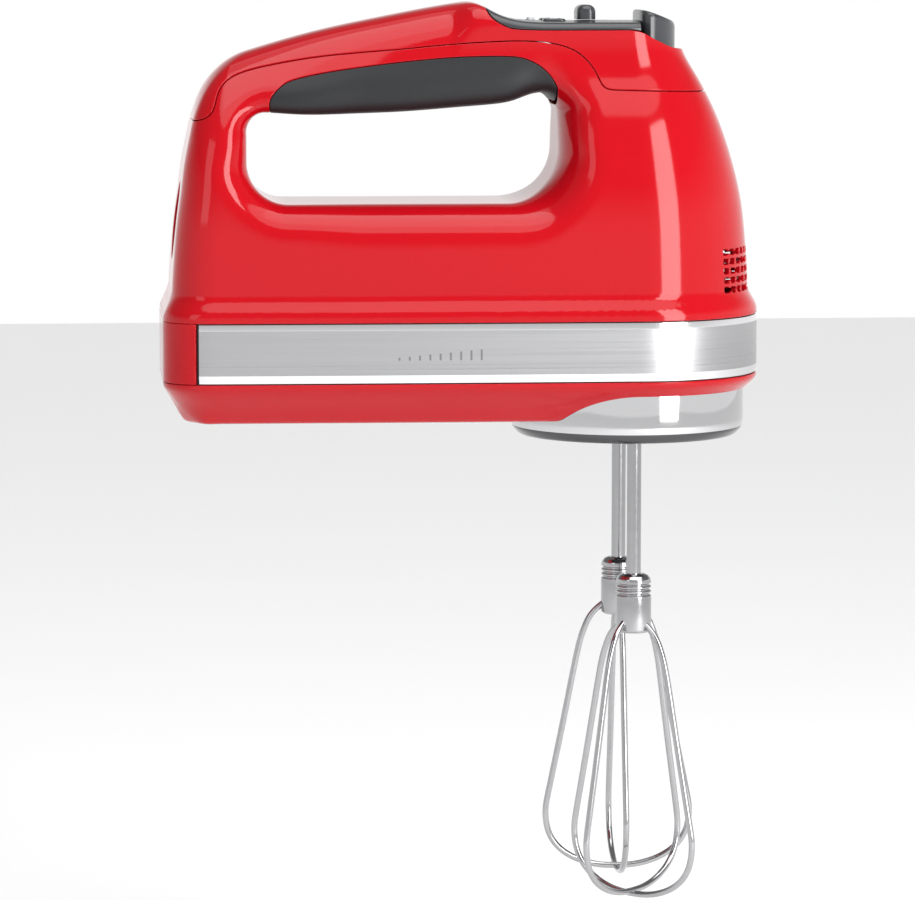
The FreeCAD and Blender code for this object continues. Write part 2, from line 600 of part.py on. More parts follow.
body = new_body("commutator", z="D.motor_z")
turn(body, "commutator_profile", [(-20, "D.shaft_r"), (-20, "D.commutator_r"),
                                  (-8, "D.commutator_r"), (-8, 9.2), (-6, 9.2),
                                  (-6, "D.shaft_r")], "H_Axis")
sketch = new_sketch(body, "YZ_Plane", "segment_gap", -21)
polygon(sketch, [(-0.25, 7), (0.25, 7), (0.25, 10), (-0.25, 10)])
gap = extrude(body, sketch, 14, cut=True)
polar(body, gap, sketch, "X_Axis", 12, "segment_gaps")

body = new_body("cooling_fan", z="D.motor_z")
disc(body, "fan_disc", "YZ_Plane", 0, 0, "D.fan_r", 40, 1.5)
disc(body, "fan_hub", "YZ_Plane", 0, 0, 6, 40, 9)
disc(body, "fan_bore", "YZ_Plane", 0, 0, "D.shaft_r", 40, 9, cut=True)
sketch = new_sketch(body, "YZ_Plane", "fan_blade", 40)
polygon(sketch, [(-0.6, 9), (0.6, 9), (4.2, 23), (3.0, 23.4)])
blade = extrude(body, sketch, 8.5)
polar(body, blade, sketch, "X_Axis", 12, "fan_blades")

# ---------------------------------------------------------------- stator side
body = new_body("motor_stator", z="D.motor_z")
sketch = new_sketch(body, "YZ_Plane", "stator_outline", "D.core_x")
polygon(sketch, [("-D.stator_wide/2 + 7", "-D.stator_high/2"), ("D.stator_wide/2 - 7", "-D.stator_high/2"),
                 ("D.stator_wide/2", "-D.stator_high/2 + 7"), ("D.stator_wide/2", "D.stator_high/2 - 7"),
                 ("D.stator_wide/2 - 7", "D.stator_high/2"), ("-D.stator_wide/2 + 7", "D.stator_high/2"),
                 ("-D.stator_wide/2", "D.stator_high/2 - 7"), ("-D.stator_wide/2", "-D.stator_high/2 + 7")])
extrude(body, sketch, "D.core_len")
disc(body, "stator_bore", "YZ_Plane", 0, 0, "D.stator_bore_r", "D.core_x", "D.core_len", cut=True)
for side in (1, -1):
    sketch = new_sketch(body, "YZ_Plane", "coil_window_%d" % (side + 1), "D.core_x")
    polygon(sketch, [(-20.5, side * 10.6), (20.5, side * 10.6), (20.5, side * 21.5), (-20.5, side * 21.5)])
    extrude(body, sketch, "D.core_len", cut=True)
for y in (-22.5, 22.5):
    disc(body, "bolt_hole_%d" % (y > 0), "YZ_Plane", y, 18, 1.9, "D.core_x", "D.core_len", cut=True)

coils = []
for side in (1, -1):
    y0, y1 = (15.2, 20.2) if side > 0 else (-20.2, -15.2)
    coil = box(-3.5, 37.5, y0, y1, -20.5, 20.5)
    coil = coil.makeFillet(4, [e for e in coil.Edges if abs(e.tangentAt(e.FirstParameter).y) > 0.9])
    coil = coil.cut(box(4 - 0.3, 30.3, y0, y1, -10.8, 10.8))
    coils.append(coil)
solid_node("field_coils", Part.makeCompound(coils), z="D.motor_z")

# rear bracket: upright plate on two feet, a bearing seat and two brush arms
body = new_body("motor_bracket", z="D.motor_z")
block(body, "bracket_plate", -34, -29, -26, 26, -35, 14)
for side in (1, -1):
    y0, y1 = (22, 26) if side > 0 else (-26, -22)
    block(body, "bracket_arm_%d" % (side + 1), -29, "D.core_x", y0, y1, -10, 10)
disc(body, "bearing_seat", "YZ_Plane", 0, 0, "D.bearing_r + 3", -36, 10)
disc(body, "bearing_hole", "YZ_Plane", 0, 0, "D.bearing_r + 0.03", -36, 10, cut=True)

for node, x0 in (("rear_bearing", -36), ("middle_bearing", 53), ("nose_bearing", 97)):
    body = new_body(node, z="D.motor_z")
    turn(body, node + "_profile", [(x0 + 0.5, "D.shaft_r + 0.04"), (x0 + 0.5, "D.bearing_r"),
                                   (x0 + 5.5, "D.bearing_r"), (x0 + 5.5, "D.shaft_r + 0.04")], "H_Axis")

holders, brushes = [], []
for side in (1, -1):
    y0, y1 = (9.2, 22) if side > 0 else (-22, -9.2)
    holder = box(-19.5, -8.5, y0, y1, -4, 4)
    holder = holder.cut(box(-17, -11, y0 - 1, y1 + 1, -2.5, 2.5))
    holders.append(holder)
    y0, y1 = (8.2, 17) if side > 0 else (-17, -8.2)
    brushes.append(box(-16.9, -11.1, y0, y1, -2.4, 2.4))
solid_node("brush_holders", Part.makeCompound(holders), z="D.motor_z")
solid_node("carbon_brushes", Part.makeCompound(brushes), z="D.motor_z")

# ---------------------------------------------------------------- gearbox frame
GAP = size("D.drive_gap")
FRAME_LOW = -113.0
frame = box(49, 108, -28, 28, FRAME_LOW, -110)
frame = frame.common(rod(36, V(DRIVE_X, 0, -120), V(0, 0, 1), 20))
frame = frame.fuse(box(50, 105, -25.5, 25.5, -70, -66.5))
for sx in (54.5, 101.5):
    for sy in (-16.5, 16.5):
        frame = frame.fuse(rod(3.4, V(sx, sy, FRAME_LOW), V(0, 0, 1), 46))
for x0, x1 in ((53, 59), (97, 103)):
    frame = frame.fuse(box(x0, x1, -8.4, 8.4, FRAME_LOW, -66.6))
for sy in (-GAP, GAP):
    frame = frame.fuse(rod(10.4, V(DRIVE_X, sy, FRAME_LOW), V(0, 0, 1), 20))
    frame = frame.fuse(rod(10.4, V(DRIVE_X, sy, -72.5), V(0, 0, 1), 8.5))
BUSH_R = size("D.bush_r")
for sy in (-GAP, GAP):
    frame = frame.cut(rod(BUSH_R + 0.03, V(DRIVE_X, sy, -120), V(0, 0, 1), 60))
frame = frame.cut(rod(size("D.bearing_r") + 0.03, V(40, 0, MOTOR_Z), V(1, 0, 0), 80))
frame = frame.cut(rod(6.4, V(61, 0, MOTOR_Z), V(1, 0, 0), 34))
solid_node("gearbox_frame", frame.removeSplitter())

bushes = []
for sy in (-GAP, GAP):
    for z0, z1 in ((FRAME_LOW, -93.0), (-72.5, -64.0)):
        bush = rod(BUSH_R, V(DRIVE_X, sy, z0), V(0, 0, 1), z1 - z0)
        bushes.append(bush.cut(rod(size("D.spindle_r") + 0.04, V(DRIVE_X, sy, z0), V(0, 0, 1), z1 - z0)))
solid_node("spindle_bushes", Part.makeCompound(bushes))

# ---------------------------------------------------------------- electronics
body = new_body("circuit_board")
block(body, "board", 36, 78, -14, 14, 0.6, 2.2)
for i, (x, y) in enumerate(((39, 11), (39, -11), (75, 11), (75, -11))):
    disc(body, "board_hole_%d" % i, "XY_Plane", x, y, 1.2, 0.6, 1.6, cut=True)
board_parts = [box(37.5, 44, -7, 7, 2.2, 4.6), box(70, 76, -6, 6, 2.2, 5.2),
               rod(2.4, V(47, -9, 2.2), V(0, 0, 1), 4), rod(2.4, V(47, 9, 2.2), V(0, 0, 1), 4)]
solid_node("board_parts", Part.makeCompound(board_parts))
body = new_body("power_contact")
block(body, "contact_case", 58.6, 69.6, -4, 4, 2.2, 7.4)
block(body, "contact_lever", 60, 68, -1.5, 1.5, 7.4, 8.4)
solid_node("supply_lead", pipe([
    V(-60, 0, -46.2), V(-60, 0, -8), V(-20, 0, 2.4), V(10, 0, 3.6), V(37.4, 0, 3.6)],
    [9, 30, 40], 1.3))
leads = []
for side in (1, -1):
    leads.append(pipe([V(62, side * 12, 0.3), V(62, side * 14, -44), V(33, side * 17.5, -58.2)],
                      [10], 0.9))
solid_node("motor_leads", Part.makeCompound(leads))

# ---------------------------------------------------------------- cord swivel
body = new_body("cord_swivel", z="D.swivel_z")
disc(body, "swivel_disc", "YZ_Plane", 0, 0, "D.swivel_r", SW_FLOOR - 3.6, 3.3)
disc(body, "swivel_neck", "YZ_Plane", 0, 0, 6, SW_FLOOR - 0.4, 7.4)
disc(body, "swivel_nozzle", "YZ_Plane", 0, 0, 6.6, SW_FLOOR - 5.4, 2.0)
disc(body, "swivel_bore", "YZ_Plane", 0, 0, "D.cord_bore_r", SW_FLOOR - 6, 14, cut=True)
body = new_body("swivel_ring", z="D.swivel_z")
disc(body, "retaining_disc", "YZ_Plane", 0, 0, 9.5, SW_FLOOR + 2.6, 1.4)
disc(body, "retaining_bore", "YZ_Plane", 0, 0, 6.04, SW_FLOOR + 2.6, 1.4, cut=True)
body = new_body("cord_clamp", z="D.swivel_z")
block(body, "clamp_bar", -61.5, -58.5, -8, 8, -4.5, 4.5)

# ---------------------------------------------------------------- fasteners
screws = []
for bx, by in BOSSES:
    screw = rod(3.1, V(bx, by, -114.6), V(0, 0, 1), 2.6).fuse(
        rod(1.25, V(bx, by, -112), V(0, 0, 1), 19))
    cross = box(bx - 2, bx + 2, by - 0.4, by + 0.4, -114.6, -113.4).fuse(
        box(bx - 0.4, bx + 0.4, by - 2, by + 2, -114.6, -113.4))
    screws.append(screw.cut(cross))
solid_node("housing_screws", Part.makeCompound(screws))
bolts = []
for y in (-22.5, 22.5):
    bolt = rod(1.6, V(-2, y, -62), V(1, 0, 0), 36).fuse(rod(2.0, V(30.2, y, -62), V(1, 0, 0), 2.4))
    bolts.append(bolt)
solid_node("motor_screws", Part.makeCompound(bolts))

# ---------------------------------------------------------------- beaters
COLLAR_LOW, COLLAR_HIGH = size("D.collar_low"), size("D.collar_high")
WIRE_R, LOOP_R, LOOP_LOW = size("D.wire_r"), size("D.loop_r"), size("D.loop_low")


def wire_loop():
    """Out of the collar, down a straight flank, round the foot and back up."""
    right = [V(2.6, 0, COLLAR_LOW + 6), V(12.5, 0, COLLAR_LOW - 4.5),
             V(LOOP_R + 1.5, 0, COLLAR_LOW - 74), V(0, 0, LOOP_LOW - 7.5)]
    left = [V(-p.x, 0, p.z) for p in reversed(right[:-1])]
    return pipe(right + left, [8, 11, 28, 11, 8], WIRE_R)


def beater(word, side, turned):
    place = ("D.drive_x", "%d * D.drive_gap" % side)
    body = new_body(word + "_beater_shaft", *place)
    turn(body, word + "_shank", [
        (0, "D.collar_low + 2"), (2.0, "D.collar_low + 2"), (2.0, "D.collar_low + 4"),
        ("D.shank_r", "D.collar_low + 4"), ("D.shank_r", "D.shank_top - 9"),
        ("D.shank_r - 0.5", "D.shank_top - 8.4"), ("D.shank_r - 0.5", "D.shank_top - 7"),
        ("D.shank_r", "D.shank_top - 6.4"), ("D.shank_r", "D.shank_top - 1"),
        ("D.shank_r - 1", "D.shank_top"), (0, "D.shank_top")])
    block(body, word + "_ears", -4.4, 4.4, -0.8, 0.8, "D.spindle_low - 1.5", "D.spindle_low + 5.5")
    body.setExpression("Placement.Rotation.Angle", "%g" % turned)
    blank = new_body(word + "_collar_blank")
    NODES.remove(blank)
    turn(blank, word + "_collar_profile", [
        ("D.shank_r", "D.collar_low"), ("D.collar_r - 0.8", "D.collar_low"),
        ("D.collar_r", "D.collar_low + 0.8"), ("D.collar_r", "D.collar_high - 7.4"),
        ("D.collar_r - 0.5", "D.collar_high - 7.0"), ("D.collar_r", "D.collar_high - 6.6"),
        ("D.collar_r", "D.collar_high - 5.9"), ("D.collar_r - 0.5", "D.collar_high - 5.5"),
        ("D.collar_r", "D.collar_high - 5.1"), ("D.collar_r", "D.collar_high - 4.4"),
        ("D.collar_r - 0.5", "D.collar_high - 4.0"), ("D.collar_r", "D.collar_high - 3.6"),
        ("D.collar_r - 0.3", "D.collar_high - 2"), ("D.collar_r - 1.2", "D.collar_high - 0.7"),
        ("D.collar_r - 2.6", "D.collar_high"), ("D.shank_r", "D.collar_high")])
    loops = wire_loop()
    second = wire_loop()
    second.rotate(V(0, 0, 0), V(0, 0, 1), 90)
    second.translate(V(0, 0, -1.0))
    wires = loops.fuse(second)
    wires.rotate(V(0, 0, 0), V(0, 0, 1), turned)
    # the wires end in the collar, round the shaft foot
    wires = wires.cut(rod(size("D.shank_r"), V(0, 0, COLLAR_LOW - 1), V(0, 0, 1), 30))
    doc.recompute()
    solid_node(word + "_beater_collar", blank.Shape.cut(wires), *place)
    solid_node(word + "_beater_wires", wires, *place)


beater("left", 1, 0)
beater("right", -1, 45)

doc.recompute()
for node in NODES:
    shape = node.Shape
    if "Invalid" in node.State or "Error" in node.State:
        raise RuntimeError("%s did not recompute" % node.Label)
    if shape.isNull() or not shape.isValid() or not shape.Solids:
        raise RuntimeError("%s has no valid solid" % node.Label)
    shape.exportStep("parts/%s.step" % node.Label)
print("%d nodes exported" % len(NODES))
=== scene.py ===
import json
import math

import bpy
import numpy as np
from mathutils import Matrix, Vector


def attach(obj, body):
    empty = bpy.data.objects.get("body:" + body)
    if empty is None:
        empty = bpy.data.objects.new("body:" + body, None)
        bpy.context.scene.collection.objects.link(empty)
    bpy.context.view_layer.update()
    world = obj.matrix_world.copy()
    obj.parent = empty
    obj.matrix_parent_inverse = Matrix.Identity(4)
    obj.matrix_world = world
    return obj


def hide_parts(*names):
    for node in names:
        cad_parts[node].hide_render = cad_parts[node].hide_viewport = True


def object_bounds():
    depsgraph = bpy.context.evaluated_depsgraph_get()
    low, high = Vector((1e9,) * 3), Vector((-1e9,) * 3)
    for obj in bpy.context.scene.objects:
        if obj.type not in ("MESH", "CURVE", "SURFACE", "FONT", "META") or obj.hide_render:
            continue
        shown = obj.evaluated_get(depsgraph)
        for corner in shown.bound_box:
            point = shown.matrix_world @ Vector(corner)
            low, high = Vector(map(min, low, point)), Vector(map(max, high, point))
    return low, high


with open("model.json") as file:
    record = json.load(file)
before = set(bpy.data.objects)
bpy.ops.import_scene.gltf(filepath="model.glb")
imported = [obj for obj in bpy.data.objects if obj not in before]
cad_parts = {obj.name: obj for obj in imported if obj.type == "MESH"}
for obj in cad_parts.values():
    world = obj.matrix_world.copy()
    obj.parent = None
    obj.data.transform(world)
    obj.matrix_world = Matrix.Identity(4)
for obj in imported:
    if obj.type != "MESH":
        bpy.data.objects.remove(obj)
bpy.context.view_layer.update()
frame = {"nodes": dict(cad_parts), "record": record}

# Looks of the hand mixer.  Shape formulas work in millimetres in the CAD frame
# (+X nose, +Z up, origin in the handle grip); meshes are written in metres.
MM = 0.001


# ------------------------------------------------------------------ small maths
def spline(xs, ys):
    """Natural cubic through the stations, straight beyond both ends."""
    x, y = np.array(xs, float), np.array(ys, float)
    n, h = len(x), np.diff(x)
    a = np.zeros((n, n))
    b = np.zeros(n)
    a[0, 0] = a[-1, -1] = 1
    for i in range(1, n - 1):
        a[i, i - 1:i + 2] = h[i - 1], 2 * (h[i - 1] + h[i]), h[i]
        b[i] = 6 * ((y[i + 1] - y[i]) / h[i] - (y[i] - y[i - 1]) / h[i - 1])
    m = np.linalg.solve(a, b)
    slope0 = (y[1] - y[0]) / h[0] - h[0] * m[1] / 6
    slope1 = (y[-1] - y[-2]) / h[-1] + h[-1] * m[-2] / 6

    def value(q):
        q = np.asarray(q, float)
        i = np.clip(np.searchsorted(x, q) - 1, 0, n - 2)
        u = np.clip(q, x[0], x[-1])
        p, r = x[i + 1] - u, u - x[i]
        s = (m[i] * p ** 3 + m[i + 1] * r ** 3) / (6 * h[i]) \
            + (y[i] / h[i] - m[i] * h[i] / 6) * p + (y[i + 1] / h[i] - m[i + 1] * h[i] / 6) * r
        return s + slope0 * np.minimum(q - x[0], 0) + slope1 * np.maximum(q - x[-1], 0)
    return value


def smooth(q, low, high):
    t = np.clip((q - low) / (high - low), 0, 1)
    return t * t * (3 - 2 * t)


def round_max(a, b, r, p=2.3):
    """Intersection of two solids with the edge between them rounded to r."""
    u, v = np.maximum(r + a, 0), np.maximum(r + b, 0)
    return np.minimum(-r, np.maximum(a, b)) + (u ** p + v ** p) ** (1 / p)


# ------------------------------------------------------------------ body surface
HALF_W = spline([-122, -100, -83, -72, -64, -54, -44, -34, -24, -16, -9, -2, 5, 12, 28],
                [41.0, 41.0, 41.0, 40.8, 40.4, 39.6, 38.3, 36.0, 32.9, 29.8, 26.5, 23.2, 21.0, 20.2, 19.9])
NOSE_C = spline([-122, -60, -20, -9, -2, 5, 12, 28], [78, 78, 78.1, 78.1, 77.5, 75.7, 74.6, 74.2])
REAR_X = spline([-122, -83, -71, -58, -48, -41, -31, -24, -17, -11, -4, 2, 12, 28],
                [-77.8, -77.7, -77.3, -76.3, -75.2, -74.2, -72.9, -71.5, -70, -68.6, -66.9, -65, -61.5, -56])
CROWN_Z = spline([-95, -75, -63, -48, -30, -6, 12, 20, 24.5, 28, 32, 36, 41, 48, 60, 75, 125],
                 [-10.5, -3.2, 1.9, 7.0, 12.1, 17.3, 20.7, 22.0, 22.2,
                  20.9, 18.7, 17.2, 16.3, 15.9, 15.9, 15.9, 15.9])
HOLE_TOP = spline([-60, -45, -36, -16, 0, 10, 20, 30, 38, 44, 50, 58],
                  [-14.6, -14.4, -15.0, -14.9, -14.3, -13.6, -12.8, -12.0, -10.6, -8.6, -8.2, -9.4])
HOLE_LEFT, HOLE_RIGHT, HOLE_LOW = -52.2, 52.8, -44.6


def plan_distance(x, y, z):
    """Distance to the plan outline at height z: half-round nose, rounded heel."""
    flare = 3.1 * (1 - smooth(z, -81.6, -73.6))
    w = HALF_W(z) + flare
    nx = NOSE_C(z)
    rear = REAR_X(z) - 0.9 * flare
    span = nx - rear
    t = np.clip((nx - x) / span, 0, 1)
    side = w * (1 - 0.065 * t * t)
    c = 0.36 * w
    qx, qy = rear + c - x, np.abs(y) - (side - c)
    u, v = np.maximum(qx, 0), np.maximum(qy, 0)
    box = (u ** 2.2 + v ** 2.2) ** (1 / 2.2) + np.minimum(np.maximum(qx, qy), 0) - c
    return np.where(x > nx, np.hypot(x - nx, y) - w, box)


def hole_distance(x, z):
    """Signed distance in the side view to the hand opening, negative inside it."""
    xm, hx = 0.5 * (HOLE_LEFT + HOLE_RIGHT), 0.5 * (HOLE_RIGHT - HOLE_LEFT)
    top = HOLE_TOP(np.clip(x, -60, 58))
    zm, hz = 0.5 * (top + HOLE_LOW), 0.5 * (top - HOLE_LOW)
    r = np.where(z > zm, 6.5, np.where(x > xm, 18.0, 14.0))
    qx, qz = np.abs(x - xm) - hx + r, np.abs(z - zm) - hz + r
    return np.hypot(np.maximum(qx, 0), np.maximum(qz, 0)) + np.minimum(np.maximum(qx, qz), 0) - r


def body_field(p):
    """Below zero inside the closed outer form of the mixer body."""
    x, y, z = p[..., 0], p[..., 1], p[..., 2]
    front = smooth(x, 16, 36)
    crown = CROWN_Z(x) - y * y / (2 * (42 + 230 * front))
    slope = (CROWN_Z(x + 0.5) - CROWN_Z(x - 0.5))
    roof = (z - crown) / np.sqrt(1 + slope * slope + (y / (42 + 230 * front)) ** 2)
    form = round_max(plan_distance(x, y, z), roof, 12.5 - 9.6 * front)
    hole = hole_distance(x, z)
    lower = 1 - smooth(z, -36, -22)
    rear = 1 - smooth(x, -40, -10)
    fillet = 14.0 + 1.5 * lower - 4.0 * rear * (1 - 0.4 * lower)
    # deeper round on the front wall of the opening
    deep = 1 - 0.38 * smooth(x, 34, 50) * smooth(-z, 4, 14)
    return round_max(form * deep, -hole, fillet)


def gradient(field, p):
    g = np.empty_like(p)
    for k in range(3):
        d = np.zeros(3)
        d[k] = 0.02
        g[..., k] = field(p + d) - field(p - d)
    return g / np.linalg.norm(g, axis=-1, keepdims=True)


# ------------------------------------------------------------------ meshes from fields
def ring_grid(field, rows, columns):
    """Quads of the form that loops round the hand opening: each row of rays starts on
    the middle line of the loop and fans round one cross-section of it."""
    # matching stations on the opening (inner) and on the outer silhouette
    inner = [(-30, -15), (0, -14), (30, -12), (48, -10), (53, -16), (53, -26), (52, -34), (44, -43),
             (20, -44.6), (-10, -44.6), (-38, -44.6), (-50, -38), (-52.2, -30), (-52.2, -22), (-48, -16)]
    outer = [(-38, 10), (0, 18.5), (34, 18), (84, 16), (106, -8), (115, -40), (121, -66), (100, -95),
             (34, -100), (-10, -100), (-48, -100), (-78, -76), (-76, -50), (-72, -24), (-64, 2)]
    count = len(inner)
    u = np.arange(-3, count + 4)
    curves = []
    for pts in (inner, outer):
        a = np.array(pts, float)
        curves.append([spline(u, a[u % count, k]) for k in (0, 1)])
    t = rows
    i2 = np.stack([c(t) for c in curves[0]], -1)
    o2 = np.stack([c(t) for c in curves[1]], -1)
    n2 = o2 - i2
    n2 /= np.linalg.norm(n2, axis=1, keepdims=True)
    # start the rays a fixed way into the material
    c2 = i2 + n2 * np.minimum(0.5 * np.linalg.norm(o2 - i2, axis=1), 22)[:, None]
    d = np.zeros((len(rows), len(columns), 3))
    d[..., 0] = n2[:, None, 0] * np.cos(columns)
    d[..., 2] = n2[:, None, 1] * np.cos(columns)
    d[..., 1] = np.sin(columns)
    c = np.zeros_like(d)
    c[..., 0], c[..., 2] = c2[:, None, 0], c2[:, None, 1]
    return cast(field, c, d)


def cast(field, c, d):
    """Where each ray from c along d leaves the form: walk to a sign change, then halve."""
    low, high = np.zeros(d.shape[:2]), np.zeros(d.shape[:2])
    found = np.zeros(d.shape[:2], bool)
    for s in np.arange(2, 100, 2.0):
        out = field(c + d * s) > 0
        new = out & ~found
        high[new] = s
        low[new] = s - 2.0
        found |= out
    for _ in range(34):
        mid = 0.5 * (low + high)
        out = field(c + d * mid[..., None]) > 0
        high = np.where(out, mid, high)
        low = np.where(out, low, mid)
    return c + d * (0.5 * (low + high))[..., None], found


def grid_faces(rows, columns, found):
    faces = []
    for i in range(rows):
        k = (i + 1) % rows
        for j in range(columns):
            m = (j + 1) % columns
            if found[i, j] and found[k, j] and found[k, m] and found[i, m]:
                faces.append((i * columns + j, k * columns + j, k * columns + m, i * columns + m))
    return faces


def outline_distance(points, closed=True, smooth_line=True, steps=14):
    """Signed distance to a 2-D outline, above zero inside (or left of an open line)."""
    pts = np.array(points, float)
    if smooth_line:
        n = len(pts)
        if closed:
            u = np.arange(-3, n + 4)
            fx, fy = spline(u, pts[u % n, 0]), spline(u, pts[u % n, 1])
            t = np.linspace(0, n, n * steps + 1)
        else:
            u = np.arange(n)
            fx, fy = spline(u, pts[:, 0]), spline(u, pts[:, 1])
            t = np.linspace(0, n - 1, (n - 1) * steps + 1)
        pts = np.stack([fx(t), fy(t)], -1)
    elif closed:
        pts = np.vstack([pts, pts[:1]])
    a, b = pts[:-1], pts[1:]

    def value(x, y):
        q = np.stack([np.ravel(x), np.ravel(y)], -1)
        best = np.full(len(q), 1e9)
        side = np.ones(len(q))
        inside = np.zeros(len(q), bool)
        for p0, p1 in zip(a, b):
            e, w = p1 - p0, q - p0
            h = np.clip((w @ e) / (e @ e), 0, 1)
            d = np.hypot(*(w - h[:, None] * e).T)
            cross = e[0] * w[:, 1] - e[1] * w[:, 0]
            near = d < best - 1e-9
            best = np.where(near, d, best)
            side = np.where(near, np.sign(cross), side)
            if closed and p0[1] != p1[1]:
                hit = ((p0[1] > q[:, 1]) != (p1[1] > q[:, 1]))
                xi = p0[0] + (q[:, 1] - p0[1]) / (p1[1] - p0[1]) * e[0]
                inside ^= hit & (q[:, 0] < xi)
        sign = np.where(inside, 1, -1) if closed else side
        return (best * sign).reshape(np.shape(x))
    return value


def slab_distance(a, b, half_a, half_b, r):
    """Rounded rectangle, above zero inside."""
    qa, qb = np.abs(a) - half_a + r, np.abs(b) - half_b + r
    return r - np.hypot(np.maximum(qa, 0), np.maximum(qb, 0)) - np.minimum(np.maximum(qa, qb), 0)


def clip(verts, faces, keep, field):
    """Keeps the part of a surface where keep(points) >= 0, cut exactly on the line."""
    value = keep(verts)
    value = np.where(np.abs(value) < 1e-7, 1e-7, value)
    state = value > 0
    out, extra, cache = [], [], {}
    base = len(verts)

    def crossing(i, j):
        key = (i, j) if i < j else (j, i)
        if key not in cache:
            t = value[i] / (value[i] - value[j])
            extra.append(verts[i] + (verts[j] - verts[i]) * t)
            cache[key] = base + len(extra) - 1
        return cache[key]

    for f in faces:
        inside = [state[k] for k in f]
        if all(inside):
            out.append(f)
        elif any(inside):
            poly = []
            for a, b in zip(f, f[1:] + f[:1]):
                if state[a]:
                    poly.append(a)
                if state[a] != state[b]:
                    poly.append(crossing(a, b))
            out.append(tuple(poly))
    if extra:
        e = np.array(extra)
        for _ in range(3):
            n = gradient(field, e)
            g = np.stack([(keep(e + d) - keep(e - d)) / 0.04 for d in 0.02 * np.eye(3)], -1)
            g -= n * (g * n).sum(-1, keepdims=True)
            step = g * keep(e)[:, None] / np.maximum((g * g).sum(-1, keepdims=True), 0.05)
            length = np.linalg.norm(step, axis=1, keepdims=True)
            e = e - step * np.minimum(1, 0.3 / np.maximum(length, 1e-9))
            e = e - n * field(e)[:, None]
        verts = np.vstack([verts, e])
    return verts, out


def tidy(verts, faces):
    """Drops unused points."""
    used = np.unique([k for f in faces for k in f])
    remap = np.full(len(verts), -1)
    remap[used] = np.arange(len(used))
    return verts[used], [tuple(int(remap[k]) for k in f) for f in faces]


def new_object(name, verts, faces, material, normals=None, body="housing", sharp=None):
    mesh = bpy.data.meshes.new(name)
    mesh.from_pydata((np.asarray(verts) * MM).tolist(), [], [list(f) for f in faces])
    mesh.validate()
    mesh.polygons.foreach_set("use_smooth", [True] * len(mesh.polygons))
    if normals is not None and len(mesh.vertices) == len(normals):
        mesh.normals_split_custom_set_from_vertices(np.asarray(normals).tolist())
    if sharp is not None:
        mesh.set_sharp_from_angle(angle=math.radians(sharp))
    obj = bpy.data.objects.new(name, mesh)
    bpy.context.collection.objects.link(obj)
    mesh.materials.append(material)
    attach(obj, body)
    return obj


def plated(name, verts, faces, field, material, depth=2.0, edge=0.3, body="housing", lift=0.0):
    """Gives an open surface its wall: rounded rims, edge faces and an inner face."""
    verts, faces = tidy(verts, faces)
    n = gradient(field, verts)
    count = {}
    for f in faces:
        for a, b in zip(f, f[1:] + f[:1]):
            count[(a, b)] = count.get((a, b), 0) + 1
    border = [(a, b) for (a, b) in count if (b, a) not in count]
    outward = np.zeros_like(verts)
    for a, b in border:
        for k in (a, b):
            outward[k] += np.cross(verts[b] - verts[a], n[k])
    rim = sorted({k for edge_pair in border for k in edge_pair})
    rim_index = {k: i for i, k in enumerate(rim)}
    t = outward[rim]
    t -= n[rim] * (t * n[rim]).sum(-1, keepdims=True)
    t /= np.maximum(np.linalg.norm(t, axis=1, keepdims=True), 1e-9)
    base = verts + n * lift
    rings, ring_normals = [], []
    steps = (30, 60, 90)
    for angle in steps:
        a = math.radians(angle)
        rings.append(base[rim] + t * edge * math.sin(a) - n[rim] * edge * (1 - math.cos(a)))
        ring_normals.append(n[rim] * math.cos(a) + t * math.sin(a))
    rings.append(base[rim] + t * edge - n[rim] * (depth - 0.05))
    ring_normals.append(t)
    inner = base - n * depth
    inner[rim] = base[rim] + t * edge - n[rim] * depth
    all_verts = np.vstack([base] + rings + [inner])
    all_normals = np.vstack([n] + ring_normals + [-n])
    m, r = len(verts), len(rim)
    all_faces = list(faces)
    last = m + len(rings) * r
    for a, b in border:
        ia, ib = rim_index[a], rim_index[b]
        chain_a = [a] + [m + k * r + ia for k in range(len(rings))] + [last + a]
        chain_b = [b] + [m + k * r + ib for k in range(len(rings))] + [last + b]
        for k in range(len(chain_a) - 1):
            all_faces.append((chain_b[k], chain_a[k], chain_a[k + 1], chain_b[k + 1]))
    all_faces += [tuple(last + k for k in reversed(f)) for f in faces]
    return new_object(name, all_verts, all_faces, material, all_normals, body)


